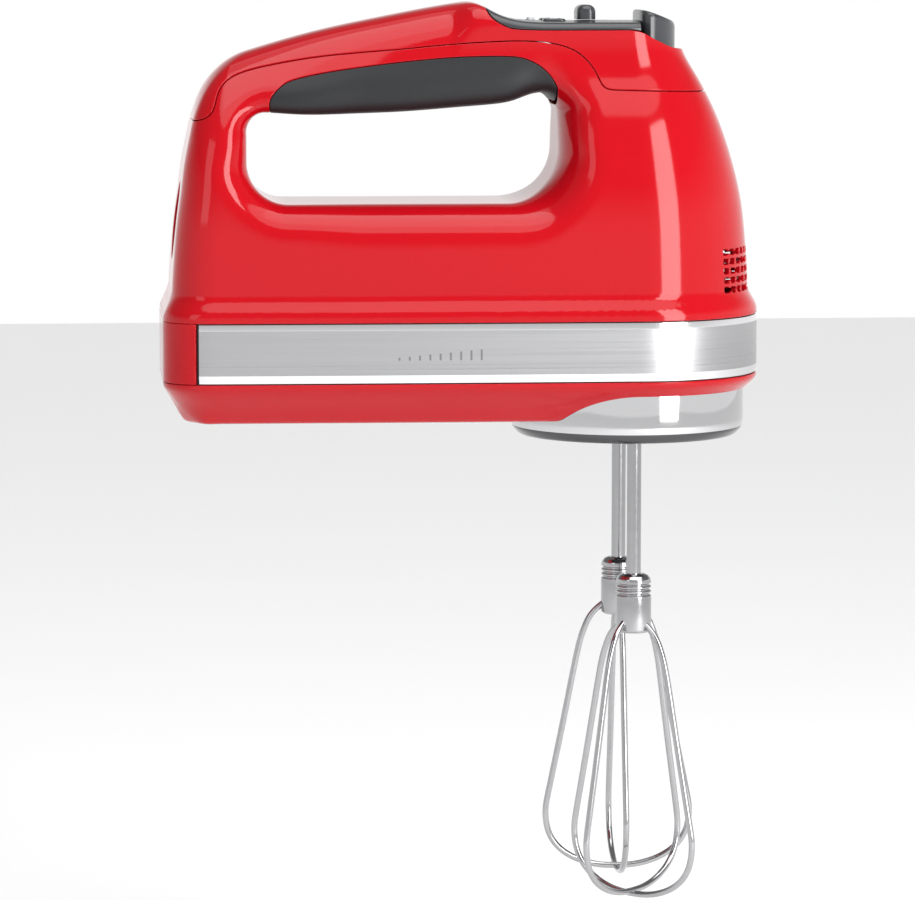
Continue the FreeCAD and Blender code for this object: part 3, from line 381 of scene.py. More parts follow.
# ------------------------------------------------------------------ materials
def material(name, color, rough, metal=0.0, coat=0.0, vary=0.04, scale=(60, 60, 60),
             bump=0.0, rough_vary=0.03, aniso=0.0, specular=0.5):
    """Principled finish whose colour, roughness and micro relief vary with a noise field."""
    m = bpy.data.materials.new(name)
    m.use_nodes = True
    nodes, links = m.node_tree.nodes, m.node_tree.links
    shader = nodes["Principled BSDF"]
    place = nodes.new("ShaderNodeTexCoord")
    mapping = nodes.new("ShaderNodeMapping")
    mapping.inputs["Scale"].default_value = scale
    noise = nodes.new("ShaderNodeTexNoise")
    noise.inputs["Scale"].default_value = 8.0
    noise.inputs["Detail"].default_value = 3.0
    links.new(place.outputs["Object"], mapping.inputs["Vector"])
    links.new(mapping.outputs["Vector"], noise.inputs["Vector"])
    ramp = nodes.new("ShaderNodeMix")
    ramp.data_type = "RGBA"
    ramp.inputs["A"].default_value = (*[c * (1 - vary) for c in color], 1)
    ramp.inputs["B"].default_value = (*[min(1, c * (1 + vary)) for c in color], 1)
    links.new(noise.outputs["Fac"], ramp.inputs["Factor"])
    links.new(ramp.outputs["Result"], shader.inputs["Base Color"])
    span = nodes.new("ShaderNodeMapRange")
    span.inputs["To Min"].default_value = max(0.0, rough - rough_vary)
    span.inputs["To Max"].default_value = rough + rough_vary
    links.new(noise.outputs["Fac"], span.inputs["Value"])
    links.new(span.outputs["Result"], shader.inputs["Roughness"])
    if bump:
        relief = nodes.new("ShaderNodeBump")
        relief.inputs["Strength"].default_value = bump
        relief.inputs["Distance"].default_value = 0.0002
        links.new(noise.outputs["Fac"], relief.inputs["Height"])
        links.new(relief.outputs["Normal"], shader.inputs["Normal"])
    shader.inputs["Metallic"].default_value = metal
    shader.inputs["Coat Weight"].default_value = coat
    shader.inputs["Coat Roughness"].default_value = 0.05
    shader.inputs["Anisotropic"].default_value = aniso
    shader.inputs["IOR"].default_value = 1.5
    shader.inputs["Specular IOR Level"].default_value = specular
    return m


RED = material("red_plastic", (0.44, 0.0034, 0.0085), 0.09, vary=0.02, specular=0.30,
               scale=(3, 3, 3), rough_vary=0.012)
STEEL = material("brushed_band", (0.47, 0.47, 0.48), 0.30, metal=1.0, vary=0.10,
                 scale=(1.2, 1.2, 260), bump=0.06, rough_vary=0.07, aniso=0.4)
BEVEL = material("polished_bevel", (0.78, 0.78, 0.79), 0.12, metal=1.0, vary=0.03,
                 scale=(2, 2, 120), rough_vary=0.03)
CHROME = material("chrome", (0.62, 0.62, 0.63), 0.055, metal=1.0, vary=0.015, scale=(9, 9, 9),
                  rough_vary=0.012)
# chrome darkened to 0.10 for the ring's downward-facing lip: a painted dark reflection of the shade below
RING_LIP_SHADE = material("chrome_painted_shade_lip", (0.10, 0.10, 0.105), 0.07, metal=1.0, vary=0.04, scale=(9, 9, 9),
               rough_vary=0.012)
WIRE = material("beater_steel", (0.43, 0.43, 0.44), 0.13, metal=1.0, vary=0.06,
                scale=(20, 20, 60), rough_vary=0.04)
DARK = material("dark_controls", (0.040, 0.042, 0.046), 0.22, specular=0.5, vary=0.06, scale=(90, 90, 90),
                bump=0.05, rough_vary=0.03)
GRIP_MAT = material("soft_grip", (0.017, 0.018, 0.020), 0.46, specular=0.3, vary=0.08,
                    scale=(120, 120, 120), bump=0.12, rough_vary=0.04)
LENS = material("display_lens", (0.012, 0.012, 0.014), 0.06, coat=0.5, vary=0.05,
                scale=(10, 10, 10), rough_vary=0.01)
LAMP = material("indicator_lens", (0.62, 0.63, 0.65), 0.12, vary=0.03, scale=(40, 40, 40),
                coat=0.4, rough_vary=0.02)
BLACK = material("black_plastic", (0.018, 0.018, 0.019), 0.42, vary=0.08, scale=(80, 80, 80),
                 bump=0.08)
INNER = material("white_inner", (0.62, 0.62, 0.59), 0.5, vary=0.04, scale=(30, 30, 30))
COPPER = material("copper_wire", (0.62, 0.25, 0.12), 0.3, metal=1.0, vary=0.1, scale=(200, 20, 20))
LAMINATED = material("laminated_iron", (0.16, 0.16, 0.17), 0.5, metal=0.8, vary=0.15,
                     scale=(400, 4, 4))
BRONZE = material("bronze", (0.50, 0.36, 0.18), 0.35, metal=1.0, vary=0.08)
BOARD = material("board", (0.03, 0.17, 0.06), 0.4, vary=0.12, scale=(60, 60, 60))
GREY_STEEL = material("ground_steel", (0.48, 0.48, 0.5), 0.25, metal=1.0, vary=0.05)
INK = material("mark_ink", (0.16, 0.16, 0.165), 0.5, vary=0.05)
SLOT_LOOK = {
    "red_shell": RED, "steel_band": STEEL, "chrome_ring": CHROME, "black_hub": BLACK,
    "soft_grip": GRIP_MAT, "dark_panel": DARK, "display_lens": LENS, "indicator_lens": LAMP,
    "dark_controls": DARK, "white_inner": INNER, "spring_steel": GREY_STEEL,
    "gear_nylon": INNER, "spindle_steel": GREY_STEEL, "core_steel": LAMINATED,
    "copper": COPPER, "carbon": BLACK, "bronze": BRONZE, "brass_parts": BRONZE,
    "board_green": BOARD, "board_black": BLACK, "wire_cover": BLACK, "black_swivel": BLACK,
    "screw_steel": GREY_STEEL, "beater_chrome": WIRE,
}
for part in frame["record"]["subparts"]:
    node = frame["nodes"][part["node"]]
    node.data.materials.clear()
    node.data.materials.append(SLOT_LOOK[part["material_slot"]])

# ------------------------------------------------------------------ red shells, grip, panel
GAP = 0.14          # half of the seam between two shells
RIM = 0.28          # rounding of a shell's edge
SEAM = outline_distance(
    [(-100, -17.4), (-86, -17.4), (-74, -17.2), (-67, -16.2), (-63.4, -13.2), (-61.8, -8.2),
     (-58.6, -3.6), (-52.6, -0.6), (-43.6, 1.6), (-29.5, 4.0), (-14, 5.6), (-1.3, 6.6),
     (9, 7.6), (18.5, 8.4), (29, 9.0), (38, 9.3), (46, 9.0), (52.3, 8.0), (57.6, 6.0),
     (61.6, 2.8), (64.4, -1.2), (66.2, -5.0), (68.4, -6.6), (74, -7.0), (90, -7.4),
     (110, -7.9), (130, -8.2)], closed=False)
GRIP = outline_distance(
    [(-44.5, -13), (-43.6, -8.6), (-40.6, -5.4), (-36, -3.2), (-25.2, -0.9), (-12, 1.0),
     (-1.3, 2.3), (8, 3.2), (15.7, 3.8), (26, 4.2), (34, 4.2), (40, 3.6), (45.4, 1.2),
     (49.2, -2.4), (51.4, -6.4), (51.8, -10.5), (48, -20), (20, -30), (-20, -30), (-40, -22)])
CONTROL = outline_distance(
    [(27.0, 40), (27.2, 30), (27.6, 23.5), (28.6, 19.2), (30.8, 16.3), (34.6, 14.1),
     (38.5, 13.2), (48, 12.9), (60, 12.9), (70, 12.9), (76, 12.9), (80.4, 12.2), (84, 10.4),
     (87.2, 8.9), (90.5, 7.5), (94, 6.7), (97, 6.5), (104, 6.4), (125, 6.4)], closed=False)
CONTROL_END = 80.3


def seam_above(p):
    return SEAM(p[:, 0], p[:, 2])


def control_inside(p):
    return CONTROL(p[:, 0], p[:, 2])


def grip_inside(p):
    return np.where(p[:, 2] > -30, GRIP(p[:, 0], p[:, 2]), -20)


def vents(p):
    """Above zero inside one of the rounded vent cells of the nose."""
    angle = np.arctan2(p[:, 1], p[:, 0] - 78)
    pitch = math.radians(6.0)
    cell = np.clip(np.round(angle / pitch), -7, 7)
    along = (angle - cell * pitch) * 40.8
    row = np.clip(np.round((p[:, 2] + 67.5) / 3.15), -2, 2)
    up = p[:, 2] + 67.5 - row * 3.15
    inside = slab_distance(along, up, 1.55 + RIM, 1.02 + RIM, 0.7)
    return np.where(p[:, 0] > 90, inside, -20)


def floored(p):
    return np.maximum(body_field(p), -97.0 - p[..., 2])


def upper_surface():
    """Whole outer surface above the band, with finer rows at the nose and rear seam."""
    rows = np.concatenate([np.arange(0, 3, 0.040), np.arange(3, 5.2, 0.028),
                           np.arange(5.2, 6.6, 0.0125), np.arange(6.6, 15, 0.040)])
    near = np.arange(0, math.radians(40), math.radians(1.0))
    mid = np.arange(math.radians(40), math.pi, math.radians(1.6))
    half = np.concatenate([near, mid])
    columns = np.concatenate([-half[::-1], half[1:]])
    verts, found = ring_grid(floored, rows, columns)
    faces = grid_faces(len(rows), len(columns), found)
    return verts.reshape(-1, 3), faces


base_verts, base_faces = upper_surface()
level = lambda z: (lambda p: p[:, 2] - z)
cut = GAP + RIM
v, f = clip(base_verts, base_faces, level(-83 + cut), body_field)
cover_v, cover_f = clip(v, f, lambda p: seam_above(p) - cut, body_field)
house_v, house_f = clip(v, f, lambda p: -seam_above(p) - cut, body_field)
panel_v, panel_f = clip(cover_v, cover_f, lambda p: control_inside(p) - cut, body_field)
cover_v, cover_f = clip(cover_v, cover_f, lambda p: -control_inside(p) - cut, body_field)
grip_v, grip_f = clip(house_v, house_f, lambda p: grip_inside(p) - cut, body_field)
house_v, house_f = clip(house_v, house_f, lambda p: -grip_inside(p) - cut, body_field)
house_v, house_f = clip(house_v, house_f, lambda p: -vents(p), body_field)
SWIVEL_Z = -51.0


def swivel_hole(p):
    return np.where(p[:, 0] < -60, np.hypot(p[:, 1], p[:, 2] - SWIVEL_Z) - 13.4, 20)


house_v, house_f = clip(house_v, house_f, swivel_hole, body_field)
cover = plated("top_cover_shell", cover_v, cover_f, body_field, RED, depth=1.25, edge=RIM)
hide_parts("top_cover")
house = plated("main_housing_shell", house_v, house_f, body_field, RED, depth=2.0, edge=RIM)
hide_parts("main_housing")
grip = plated("grip_skin", grip_v, grip_f, body_field, GRIP_MAT, depth=1.5, edge=0.4, lift=-0.05)
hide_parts("grip")


def panel_hole(p):
    """Above zero where the panel stays: clear of the window, keys, lamp and slide slot."""
    x, y = p[:, 0], p[:, 1]
    window = slab_distance(x - 35.4, y, 4.6, 9.4, 1.6)
    keys = slab_distance(x - 52, np.abs(y) - 5.4, 4.25, 4.45, 1.2)
    lamp = 1.75 - np.hypot(x - 44.6, y)
    slot = slab_distance(x - 66.3, y, 4.9, 3.2, 1.0)
    return -np.maximum(np.maximum(window, keys), np.maximum(lamp, slot)) - 0.15


panel_v, panel_f = clip(panel_v, panel_f, lambda p: CONTROL_END - 0.5 - p[:, 0], body_field)
window_v, window_f = clip(panel_v, panel_f,
                          lambda p: slab_distance(p[:, 0] - 35.4, p[:, 1], 4.4, 9.2, 1.5), body_field)
panel_v, panel_f = clip(panel_v, panel_f, panel_hole, body_field)
panel = plated("control_panel_skin", panel_v, panel_f, body_field, DARK, depth=1.6, edge=0.25)
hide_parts("control_panel")
window = plated("display_window_glass", window_v, window_f, body_field, LENS, depth=1.0, edge=0.2)
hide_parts("display_window")

# ------------------------------------------------------------------ waist, band, underside
BOTTOM_Z = -117.5
SIDE_IN = spline([-118, -117.5, -112, -106.2, -104.6, -103, -80],
                 [14.8, 14.2, 8.3, 1.6, 0.25, 0, 0])


def tray_field(p):
    """Underside tray: straight sides, then a long bevel to the flat floor."""
    x, y, z = p[..., 0], p[..., 1], p[..., 2]
    inset = np.maximum(SIDE_IN(z), 0)
    # the bevel is steeper at the heel than along the sides
    heel = smooth(-x, 60, 76) * (1 - smooth(np.abs(y), 18, 36))
    wall = plan_distance(x, y, np.full_like(z, -90)) + inset * (1 - 0.5 * heel)
    return round_max(wall * 0.8, BOTTOM_Z - z, 1.0)


DRIVE_X, HEEL_X = 78.0, -62.0       # centres of the nose and heel fans
STEPS_NOSE, STEPS_SIDE, STEPS_HEEL = 60, 70, 56


def plan_fan():
    """Centres and plan directions that run once round the body outline."""
    centres, angles = [], []
    for a in np.linspace(-90, 90, STEPS_NOSE, endpoint=False):
        centres.append(DRIVE_X)
        angles.append(a)
    for x in np.linspace(DRIVE_X, HEEL_X, STEPS_SIDE, endpoint=False):
        centres.append(x)
        angles.append(90.0)
    for a in np.linspace(90, 270, STEPS_HEEL, endpoint=False):
        centres.append(HEEL_X)
        angles.append(a)
    for x in np.linspace(HEEL_X, DRIVE_X, STEPS_SIDE, endpoint=False):
        centres.append(x)
        angles.append(270.0)
    return np.array(centres), np.radians(angles)


def side_points(z):
    centres, angles = plan_fan()
    c = np.stack([centres, np.zeros_like(centres), np.full_like(centres, z)], -1)[None]
    d = np.stack([np.cos(angles), np.sin(angles), np.zeros_like(angles)], -1)[None]
    pts, _ = cast(lambda p: plan_distance(p[..., 0], p[..., 1], p[..., 2]), c, d)
    return pts[0]


def fan_surface(field, z, elevations):
    centres, angles = plan_fan()
    e = np.radians(elevations)[:, None]
    d = np.stack([np.cos(angles)[None] * np.cos(e), np.sin(angles)[None] * np.cos(e),
                  np.broadcast_to(np.sin(e), (len(elevations), len(angles)))], -1)
    c = np.zeros_like(d)
    c[..., 0], c[..., 2] = centres[None], z
    pts, _ = cast(field, c, d)
    rows, n = d.shape[:2]
    faces = []
    for i in range(rows - 1):
        for j in range(n):
            k = (j + 1) % n
            faces.append((i * n + j, (i + 1) * n + j, (i + 1) * n + k, i * n + k))
    return pts.reshape(-1, 3), faces


RING_R = 39.7
tray_v, tray_f = fan_surface(tray_field, -100.0, np.concatenate([
    np.linspace(2, -24, 44), np.linspace(-25.5, -60, 24), np.linspace(-63, -89.6, 12)]))
BOSSES = [(-66, 24), (-66, -24), (35.4, 25), (35.4, -25)]


def tray_keep(p):
    ring = np.hypot(p[:, 0] - 78, p[:, 1]) - RING_R - 0.25 - RIM
    slots = np.full(len(p), 50.0)
    for i in range(6):
        slots = np.minimum(slots, -slab_distance(p[:, 0] + 28.2 - 7 * i, p[:, 1], 1.8, 14, 1.7))
    slots = np.where(p[:, 2] < -115, slots, 50)
    holes = np.full(len(p), 50.0)
    for bx, by in BOSSES:
        holes = np.minimum(holes, np.hypot(p[:, 0] - bx, p[:, 1] - by) - 3.5)
    holes = np.where(p[:, 2] < -107, holes, 50)
    return np.minimum(np.minimum(ring, slots), holes)


tray_v, tray_f = clip(tray_v, tray_f, lambda p: -103 - cut - p[:, 2], tray_field)
tray_v, tray_f = clip(tray_v, tray_f, tray_keep, tray_field)
tray = plated("bottom_housing_shell", tray_v, tray_f, tray_field, RED, depth=2.2, edge=RIM)
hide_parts("bottom_housing")

# rear part of the waist, which belongs to the main housing and butts against the band
BAND_END = -70.0
outline = side_points(-90)


def waist_field(p):
    return plan_distance(p[..., 0], p[..., 1], np.full_like(p[..., 0], -90.0))


waist_z = np.linspace(-102.7, -83.2, 14)
waist_v = np.array([[q[0], q[1], z] for z in waist_z for q in outline])
n_out = len(outline)
waist_f = [(i * n_out + j, i * n_out + (j + 1) % n_out, (i + 1) * n_out + (j + 1) % n_out,
            (i + 1) * n_out + j) for i in range(len(waist_z) - 1) for j in range(n_out)]
waist_v, waist_f = clip(waist_v, waist_f, lambda p: BAND_END - 0.1 - RIM - p[:, 0], waist_field)
waist = plated("heel_waist", waist_v, waist_f, waist_field, RED, depth=2.0, edge=RIM)
# dark wall behind the waist seams, painted shade: a black sheet where the inside would only be in shade, so
# that no light leaks through them
core_z = [-104.5, -81.5]
core = np.array([[q[0], q[1], z] for z in core_z for q in outline])
core_n = gradient(waist_field, core)
core = core - core_n * 1.6
core_f = [(j, (j + 1) % n_out, n_out + (j + 1) % n_out, n_out + j) for j in range(n_out)]
seam_shade_wall = new_object("waist_seam_shade_wall", core, core_f, BLACK)

# trim band: brushed face between two polished bevels
start = [j for j in range(n_out) if outline[j][0] > BAND_END]
side_a = [j for j in start if j < STEPS_NOSE + STEPS_SIDE]
side_b = [j for j in start if j >= STEPS_NOSE + STEPS_SIDE]
order = side_b + side_a
line = outline[order]
tip_a, tip_b = line[0].copy(), line[-1].copy()
for tip in (tip_a, tip_b):
    tip[0] = BAND_END
line = np.vstack([tip_a, line, tip_b])
line_n = gradient(waist_field, line)
BAND_PROFILE = [(-0.75, -83.2), (-0.42, -83.2), (-0.34, -83.3), (-0.03, -85.0), (0.0, -85.25),
                (0.0, -100.1), (-0.04, -100.4), (-0.40, -102.7), (-0.5, -102.8), (-0.75, -102.8)]
band_v, band_f = [], []
for q, n in zip(line, line_n):
    for off, z in BAND_PROFILE:
        band_v.append([q[0] + n[0] * off, q[1] + n[1] * off, z])
k = len(BAND_PROFILE)
for i in range(len(line) - 1):
    for j in range(k):
        m = (j + 1) % k
        band_f.append((i * k + j, i * k + m, (i + 1) * k + m, (i + 1) * k + j))
band_f.append(tuple(reversed(range(k))))
band_f.append(tuple((len(line) - 1) * k + j for j in range(k)))
band = new_object("trim_band_strip", band_v, band_f, STEEL, sharp=7)
band.data.materials.append(BEVEL)
for polygon in band.data.polygons:
    heights = [band.data.vertices[i].co.z / MM for i in polygon.vertices]
    if abs(polygon.normal.z) < 0.5 and (min(heights) > -85.3 or max(heights) < -100.0):
        polygon.material_index = 1
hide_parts("trim_band")


# ------------------------------------------------------------------ turned and swept pieces
def arc_corner(points, radius, steps=5):
    """Rounds every inner corner of an open outline."""
    pts = [np.array(q, float) for q in points]
    out = [pts[0]]
    for a, b, c in zip(pts, pts[1:], pts[2:]):
        u, w = a - b, c - b
        lu, lw = np.linalg.norm(u), np.linalg.norm(w)
        r = min(radius, 0.45 * lu, 0.45 * lw)
        p, q = b + u / lu * r, b + w / lw * r
        for t in np.linspace(0, 1, steps):
            out.append((1 - t) ** 2 * p + 2 * t * (1 - t) * b + t * t * q)
    out.append(pts[-1])
    return out


def lathe(name, profile, centre, look, radius=0.3, segments=72, axis="Z", body="housing",
          closed=False, sharp=40):
    """Turned piece from an (r, height) outline, corners rounded."""
    prof = arc_corner(profile + profile[:2] if closed else profile, radius)
    if closed:
        prof = prof[1:-1]
    verts, faces = [], []
    for s in range(segments):
        a = 2 * math.pi * s / segments
        for r, h in prof:
            if axis == "Z":
                verts.append((centre[0] + r * math.cos(a), centre[1] + r * math.sin(a),
                              centre[2] + h))
            else:
                verts.append((centre[0] + h, centre[1] + r * math.cos(a),
                              centre[2] + r * math.sin(a)))
    k = len(prof)
    for s in range(segments):
        t = (s + 1) % segments
        for j in range(k if closed else k - 1):
            m = (j + 1) % k
            faces.append((s * k + j, t * k + j, t * k + m, s * k + m))
    return new_object(name, verts, faces, look, body=body, sharp=sharp)


ring = lathe("hub_ring_chrome", [
    (37.4, 17.0), (39.7, 17.0), (39.7, 5.2), (39.2, 2.6), (37.6, 0.7), (36.4, 0.0), (35.4, 0.6),
    (35.4, 2.6), (37.2, 3.8)], (78, 0, -124.5), CHROME, radius=0.7, segments=160, closed=True)
ring.data.materials.append(RING_LIP_SHADE)
# the lower rolled lip takes the darkened chrome: a painted dark reflection, not a different finish
for polygon in ring.data.polygons:
    if max(ring.data.vertices[i].co.z for i in polygon.vertices) < (-124.5 + 3.9) * MM:
        polygon.material_index = 1
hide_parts("hub_ring")


def tube(name, path, radius, look, body, sides=20):
    path = np.array(path, float)
    tangents = np.gradient(path, axis=0)
    tangents /= np.linalg.norm(tangents, axis=1, keepdims=True)
    u = np.cross(tangents[0], [0.3, 0.2, 1.0])
    u /= np.linalg.norm(u)
    verts, normals = [], []
    for q, t in zip(path, tangents):
        u = u - t * (u @ t)
        u /= np.linalg.norm(u)
        w = np.cross(t, u)
        for s in range(sides):
            a = 2 * math.pi * s / sides
            n = u * math.cos(a) + w * math.sin(a)
            verts.append(q + n * radius)
            normals.append(n)
    faces = []
    for i in range(len(path) - 1):
        for s in range(sides):
            t = (s + 1) % sides
            faces.append((i * sides + s, i * sides + t, (i + 1) * sides + t, (i + 1) * sides + s))
    faces += [tuple(reversed(range(sides))),
              tuple((len(path) - 1) * sides + s for s in range(sides))]
    return new_object(name, verts, faces, look, normals, body)


def loop_path(x, y, turned, drop):
    stations = [(2.7, -184.6), (6.2, -187.2), (9.6, -190.6), (12.0, -195.4), (14.2, -203),
                (17.4, -219), (21.0, -237), (24.2, -252.5), (25.3, -260), (24.2, -267),
                (20.2, -273.0), (13.8, -277.0), (6.6, -279.0), (0, -279.4)]
    pts = stations + [(-r, z) for r, z in reversed(stations[:-1])]
    u = np.arange(len(pts))
    fr, fz = spline(u, [q[0] for q in pts]), spline(u, [q[1] for q in pts])
    t = np.linspace(0, len(pts) - 1, 150)
    a = math.radians(turned)
    r = fr(t)
    return np.stack([x + r * math.cos(a), y + r * math.sin(a), fz(t) - drop], -1)


for word, side, turned in (("left", 1, 0), ("right", -1, 45)):
    y = 21 * side
    body = word + "_beater"
    a = tube(word + "_loop_a", loop_path(78, y, turned, 0), 1.08, WIRE, body)
    b = tube(word + "_loop_b", loop_path(78, y, turned + 90, 1.0), 1.08, WIRE, body)
    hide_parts(word + "_beater_wires")
    collar = lathe(word + "_collar_turned", [
        (2.4, 0), (5.3, 0), (6.0, 0.7), (6.0, 12.5), (5.35, 12.9), (5.35, 13.2), (6.0, 13.6),
        (6.0, 14.1), (5.35, 14.5), (5.35, 14.8), (6.0, 15.2), (6.0, 15.7), (5.35, 16.1),
        (5.35, 16.4), (6.0, 16.8), (5.75, 18.2), (4.9, 19.3), (3.6, 19.9), (2.4, 20)],
        (78, y, -190), WIRE, radius=0.22, segments=72, body=body, sharp=60)
    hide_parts(word + "_beater_collar")

# ------------------------------------------------------------------ controls
def pill(name, outline_points, lift_at, levels, look, body):
    """One closed plan outline at several (z, inset) levels, capped at both ends."""
    pts = np.array(outline_points, float)
    mid = pts.mean(0)
    verts, faces = [], []
    n = len(pts)
    for z, inset in levels:
        away = pts - mid
        scale = 1 - inset / np.maximum(np.abs(away).max(0), 1e-6)
        for q in mid + away * scale:
            verts.append((q[0], q[1], z + lift_at(q[0])))
    for i in range(len(levels) - 1):
        for j in range(n):
            m = (j + 1) % n
            faces.append((i * n + j, i * n + m, (i + 1) * n + m, (i + 1) * n + j))
    faces += [tuple(reversed(range(n))), tuple((len(levels) - 1) * n + j for j in range(n))]
    return new_object(name, verts, faces, look, body=body, sharp=38)


def rounded_box(x0, x1, y0, y1, r, steps=7):
    pts = []
    corners = ((x1 - r, y1 - r, 0), (x0 + r, y1 - r, 90),
               (x0 + r, y0 + r, 180), (x1 - r, y0 + r, 270))
    for cx, cy, a0 in corners:
        for a in np.linspace(a0, a0 + 90, steps):
            pts.append((cx + r * math.cos(math.radians(a)), cy + r * math.sin(math.radians(a))))
    return pts


def flat(x):
    return 0.0


def dome_levels(low, high, r, steps=7):
    """Straight wall up to high - r, then a quarter round."""
    out = [(low, 0.0)]
    for a in np.linspace(0, 90, steps):
        a = math.radians(a)
        out.append((high - r + r * math.sin(a), r * (1 - math.cos(a))))
    return out


PANEL_Z = 15.9
# ejector: half-round front, flat back, top falling towards the nose
EJECT_R, EJECT_BACK, EJECT_FRONT = 18.4, 80.7, 93.7
arc = [(EJECT_FRONT - EJECT_R + EJECT_R * math.cos(a), EJECT_R * math.sin(a))
       for a in np.radians(np.linspace(-57, 57, 37))]
back_edge = [(83.6, 15.7), (82.2, 14.9), (81.3, 13.2), (80.9, 10.8), (EJECT_BACK, 7), (EJECT_BACK, 0)]
back_edge += [(x, -y) for x, y in reversed(back_edge[:-1])]
eject = pill("ejector_cap", arc + back_edge, lambda x: -0.36 * (x - 81.5),
             dome_levels(3, 19.6, 1.7, 9), DARK, "ejector")
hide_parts("ejector_button")

# speed slide: tall rounded tab
tab = pill("slide_tab", rounded_box(60.0, 66.3, -6.8, 6.8, 2.5), flat,
           dome_levels(PANEL_Z + 0.25, PANEL_Z + 5.2, 2.4, 9), DARK, "power_slide")
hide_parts("power_switch")
for word, side in (("up", 1), ("down", -1)):
    key_y = 5.4 * side
    key = pill("speed_%s_cap" % word, rounded_box(48.2, 55.8, key_y - 4, key_y + 4, 1.6), flat,
               dome_levels(PANEL_Z - 2.5, PANEL_Z + 0.6, 0.7), DARK, "speed_" + word)
    # raised plus or minus sign
    bars = [(3.0, 0.5)] if side < 0 else [(3.0, 0.5), (0.5, 3.0)]
    for i, (bx, by) in enumerate(bars):
        bar = pill("speed_%s_sign_%d" % (word, i),
                   rounded_box(52 - bx / 2, 52 + bx / 2, key_y - by / 2, key_y + by / 2, 0.22),
                   flat, dome_levels(PANEL_Z + 0.3, PANEL_Z + 0.85, 0.15), LAMP, "speed_" + word)
    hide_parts("speed_%s_button" % word)

# ------------------------------------------------------------------ rear swivel
swivel = lathe("swivel_turned", [
    (3.6, -5.3), (6.3, -5.3), (6.6, -5.0), (6.6, -3.6), (11.6, -3.6), (12.9, -2.6), (12.9, -0.6),
    (6.0, -0.6), (6.0, 6.9), (3.6, 6.9)], (-69, 0, SWIVEL_Z), BLACK, radius=0.5, segments=96,
    axis="X", body="swivel", closed=True)
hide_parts("cord_swivel")
for i in range(8):
    a = math.radians(45 * i + 22.5)
    c, d = math.cos(a), math.sin(a)
    rib = []
    for r, w in ((7.4, 0.5), (11.2, 0.6)):
        for q in (-w, w):
            rib.append((r, q))
    pts = []
    for x in (-72.5, -73.1):
        for r, q in (rib[0], rib[2], rib[3], rib[1]):
            pts.append((x, r * c - q * d, SWIVEL_Z + r * d + q * c))
    quads = [(0, 1, 2, 3), (7, 6, 5, 4), (0, 4, 5, 1), (1, 5, 6, 2), (2, 6, 7, 3), (3, 7, 4, 0)]
    fin = new_object("swivel_rib_%d" % i, pts, quads, BLACK, body="swivel", sharp=30)

# ------------------------------------------------------------------ mark on the band
def band_mark(side):
    """Nine thin ticks that rise towards the nose, a plain scale instead of any lettering."""
    for i in range(9):
        x = -3.0 + 3.4 * i
        high = 1.0 + 0.32 * i
        foot_z = -95.2
        verts = []
        for q, z in ((x - 0.35, foot_z), (x + 0.35, foot_z),
                     (x + 0.35, foot_z + high), (x - 0.35, foot_z + high)):
            y = side * float(HALF_SIDE(q))
            verts += [(q, y + side * 0.04, z), (q, y - side * 0.2, z)]
        front, rear = [0, 2, 4, 6], [7, 5, 3, 1]
        faces = [front, rear]
        for k in range(4):
            a, b = 2 * k, 2 * ((k + 1) % 4)
            faces.append([b, a, a + 1, b + 1])
        if side > 0:
            faces = [list(reversed(f)) for f in faces]
        tick = new_object("scale_tick_%s_%d" % ("l" if side > 0 else "r", i), verts, faces, INK, sharp=30)


near_side = outline[(outline[:, 1] > 0) & (np.abs(outline[:, 0] - 12) < 40)]
near_side = near_side[np.argsort(near_side[:, 0])]
HALF_SIDE = spline(near_side[:, 0], near_side[:, 1])
band_mark(-1)
band_mark(1)

# ------------------------------------------------------------------ floor, light, camera
bpy.context.scene.view_settings.view_transform = "Standard"
bpy.context.scene.view_settings.look = "None"
# low enough for a beater that is pulled out of its spindle
floor_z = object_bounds()[0][2] - 0.058
floor_mesh = bpy.data.meshes.new("floor")
floor_mesh.from_pydata([(-3, -3, floor_z), (3, -3, floor_z), (3, 3, floor_z), (-3, 3, floor_z)],
                       [], [(0, 1, 2, 3)])
floor = bpy.data.objects.new("floor", floor_mesh)
bpy.context.collection.objects.link(floor)
floor_mesh.materials.append(material("pale_floor", (0.96, 0.96, 0.96), 0.8, vary=0.004, specular=0.1,
                                     scale=(1, 1, 1)))

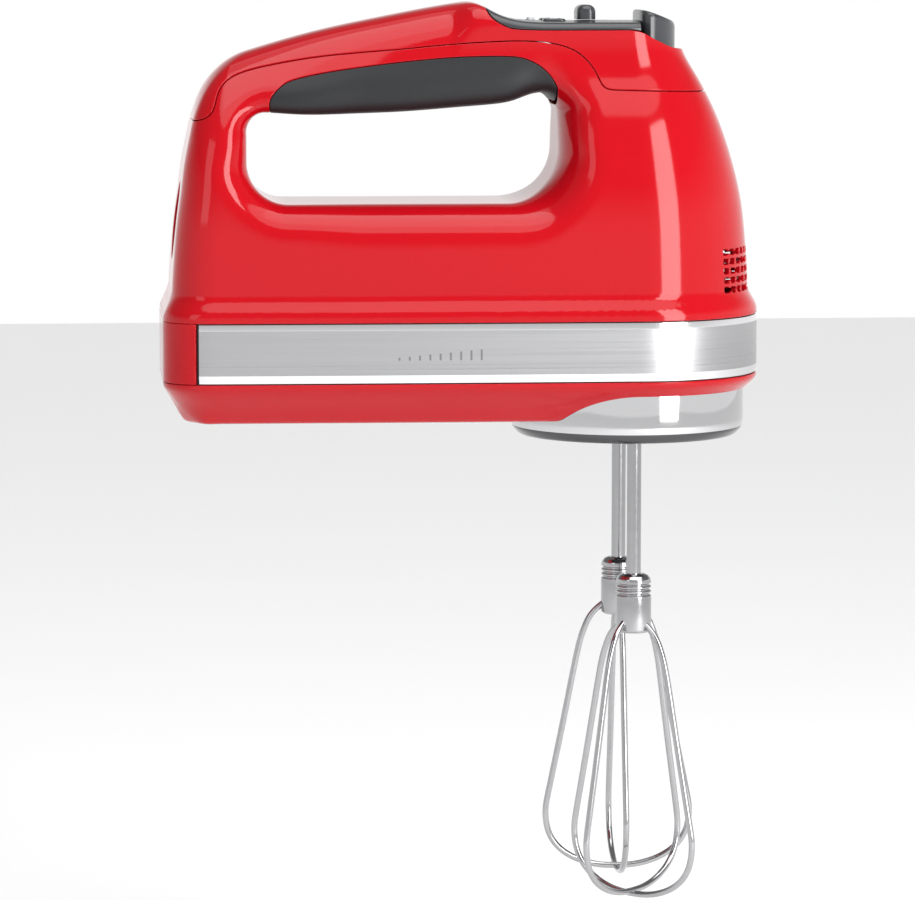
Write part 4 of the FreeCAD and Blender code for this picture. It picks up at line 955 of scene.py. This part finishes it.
world = bpy.data.worlds.new("studio")
bpy.context.scene.world = world
world.use_nodes = True
wn, wl = world.node_tree.nodes, world.node_tree.links
coord = wn.new("ShaderNodeTexCoord")
split = wn.new("ShaderNodeSeparateXYZ")
sky = wn.new("ShaderNodeValToRGB")
wl.new(coord.outputs["Generated"], split.inputs["Vector"])
wl.new(split.outputs["Z"], sky.inputs["Fac"])
# pale wall at the horizon, dim ceiling between the lamps
stops = sky.color_ramp.elements
stops[0].position, stops[0].color = 0.12, (1, 1, 1, 1)
stops[1].position, stops[1].color = 0.40, (0.22, 0.22, 0.22, 1)
wl.new(sky.outputs["Color"], wn["Background"].inputs["Color"])
wn["Background"].inputs["Strength"].default_value = 1.0


def area_light(name, place, target, size_x, size_y, power):
    data = bpy.data.lights.new(name, "AREA")
    data.shape = "RECTANGLE"
    data.size, data.size_y, data.energy = size_x, size_y, power
    lamp = bpy.data.objects.new(name, data)
    bpy.context.collection.objects.link(lamp)
    lamp.location = place
    aim = [t - p for t, p in zip(target, place)]
    lamp.rotation_euler = Vector(aim).to_track_quat("-Z", "Y").to_euler()
    return lamp


area_light("key_strip", (0.62, -0.78, 0.22), (0.08, 0, -0.04), 0.34, 0.9, 9)
area_light("fill_left", (-0.9, -1.0, 0.55), (0, 0, -0.06), 0.5, 0.7, 2)
area_light("top_soft", (0.05, 0.0, 1.1), (0, 0, 0), 1.2, 0.9, 3)
day = bpy.data.lights.new("high_window", "SUN")
day.energy, day.angle = 1.8, math.radians(60)
window_light = bpy.data.objects.new("high_window", day)
bpy.context.collection.objects.link(window_light)
window_light.rotation_euler = (math.radians(14), math.radians(8), 0)

AZ, EL, DISTANCE = math.radians(-5), math.radians(6.5), 1.5
aim_point = Vector((0.020, 0.0, -0.130))
back = Vector((math.sin(AZ) * math.cos(EL), -math.cos(AZ) * math.cos(EL), math.sin(EL)))
camera_data = bpy.data.cameras.new("camera")
camera_data.sensor_width = 36
camera_data.lens = 36 * 1.5 / 0.3120
camera = bpy.data.objects.new("camera", camera_data)
bpy.context.collection.objects.link(camera)
camera.location = aim_point + back * DISTANCE
camera.rotation_euler = (-back).to_track_quat("-Z", "Y").to_euler()
bpy.context.scene.camera = camera
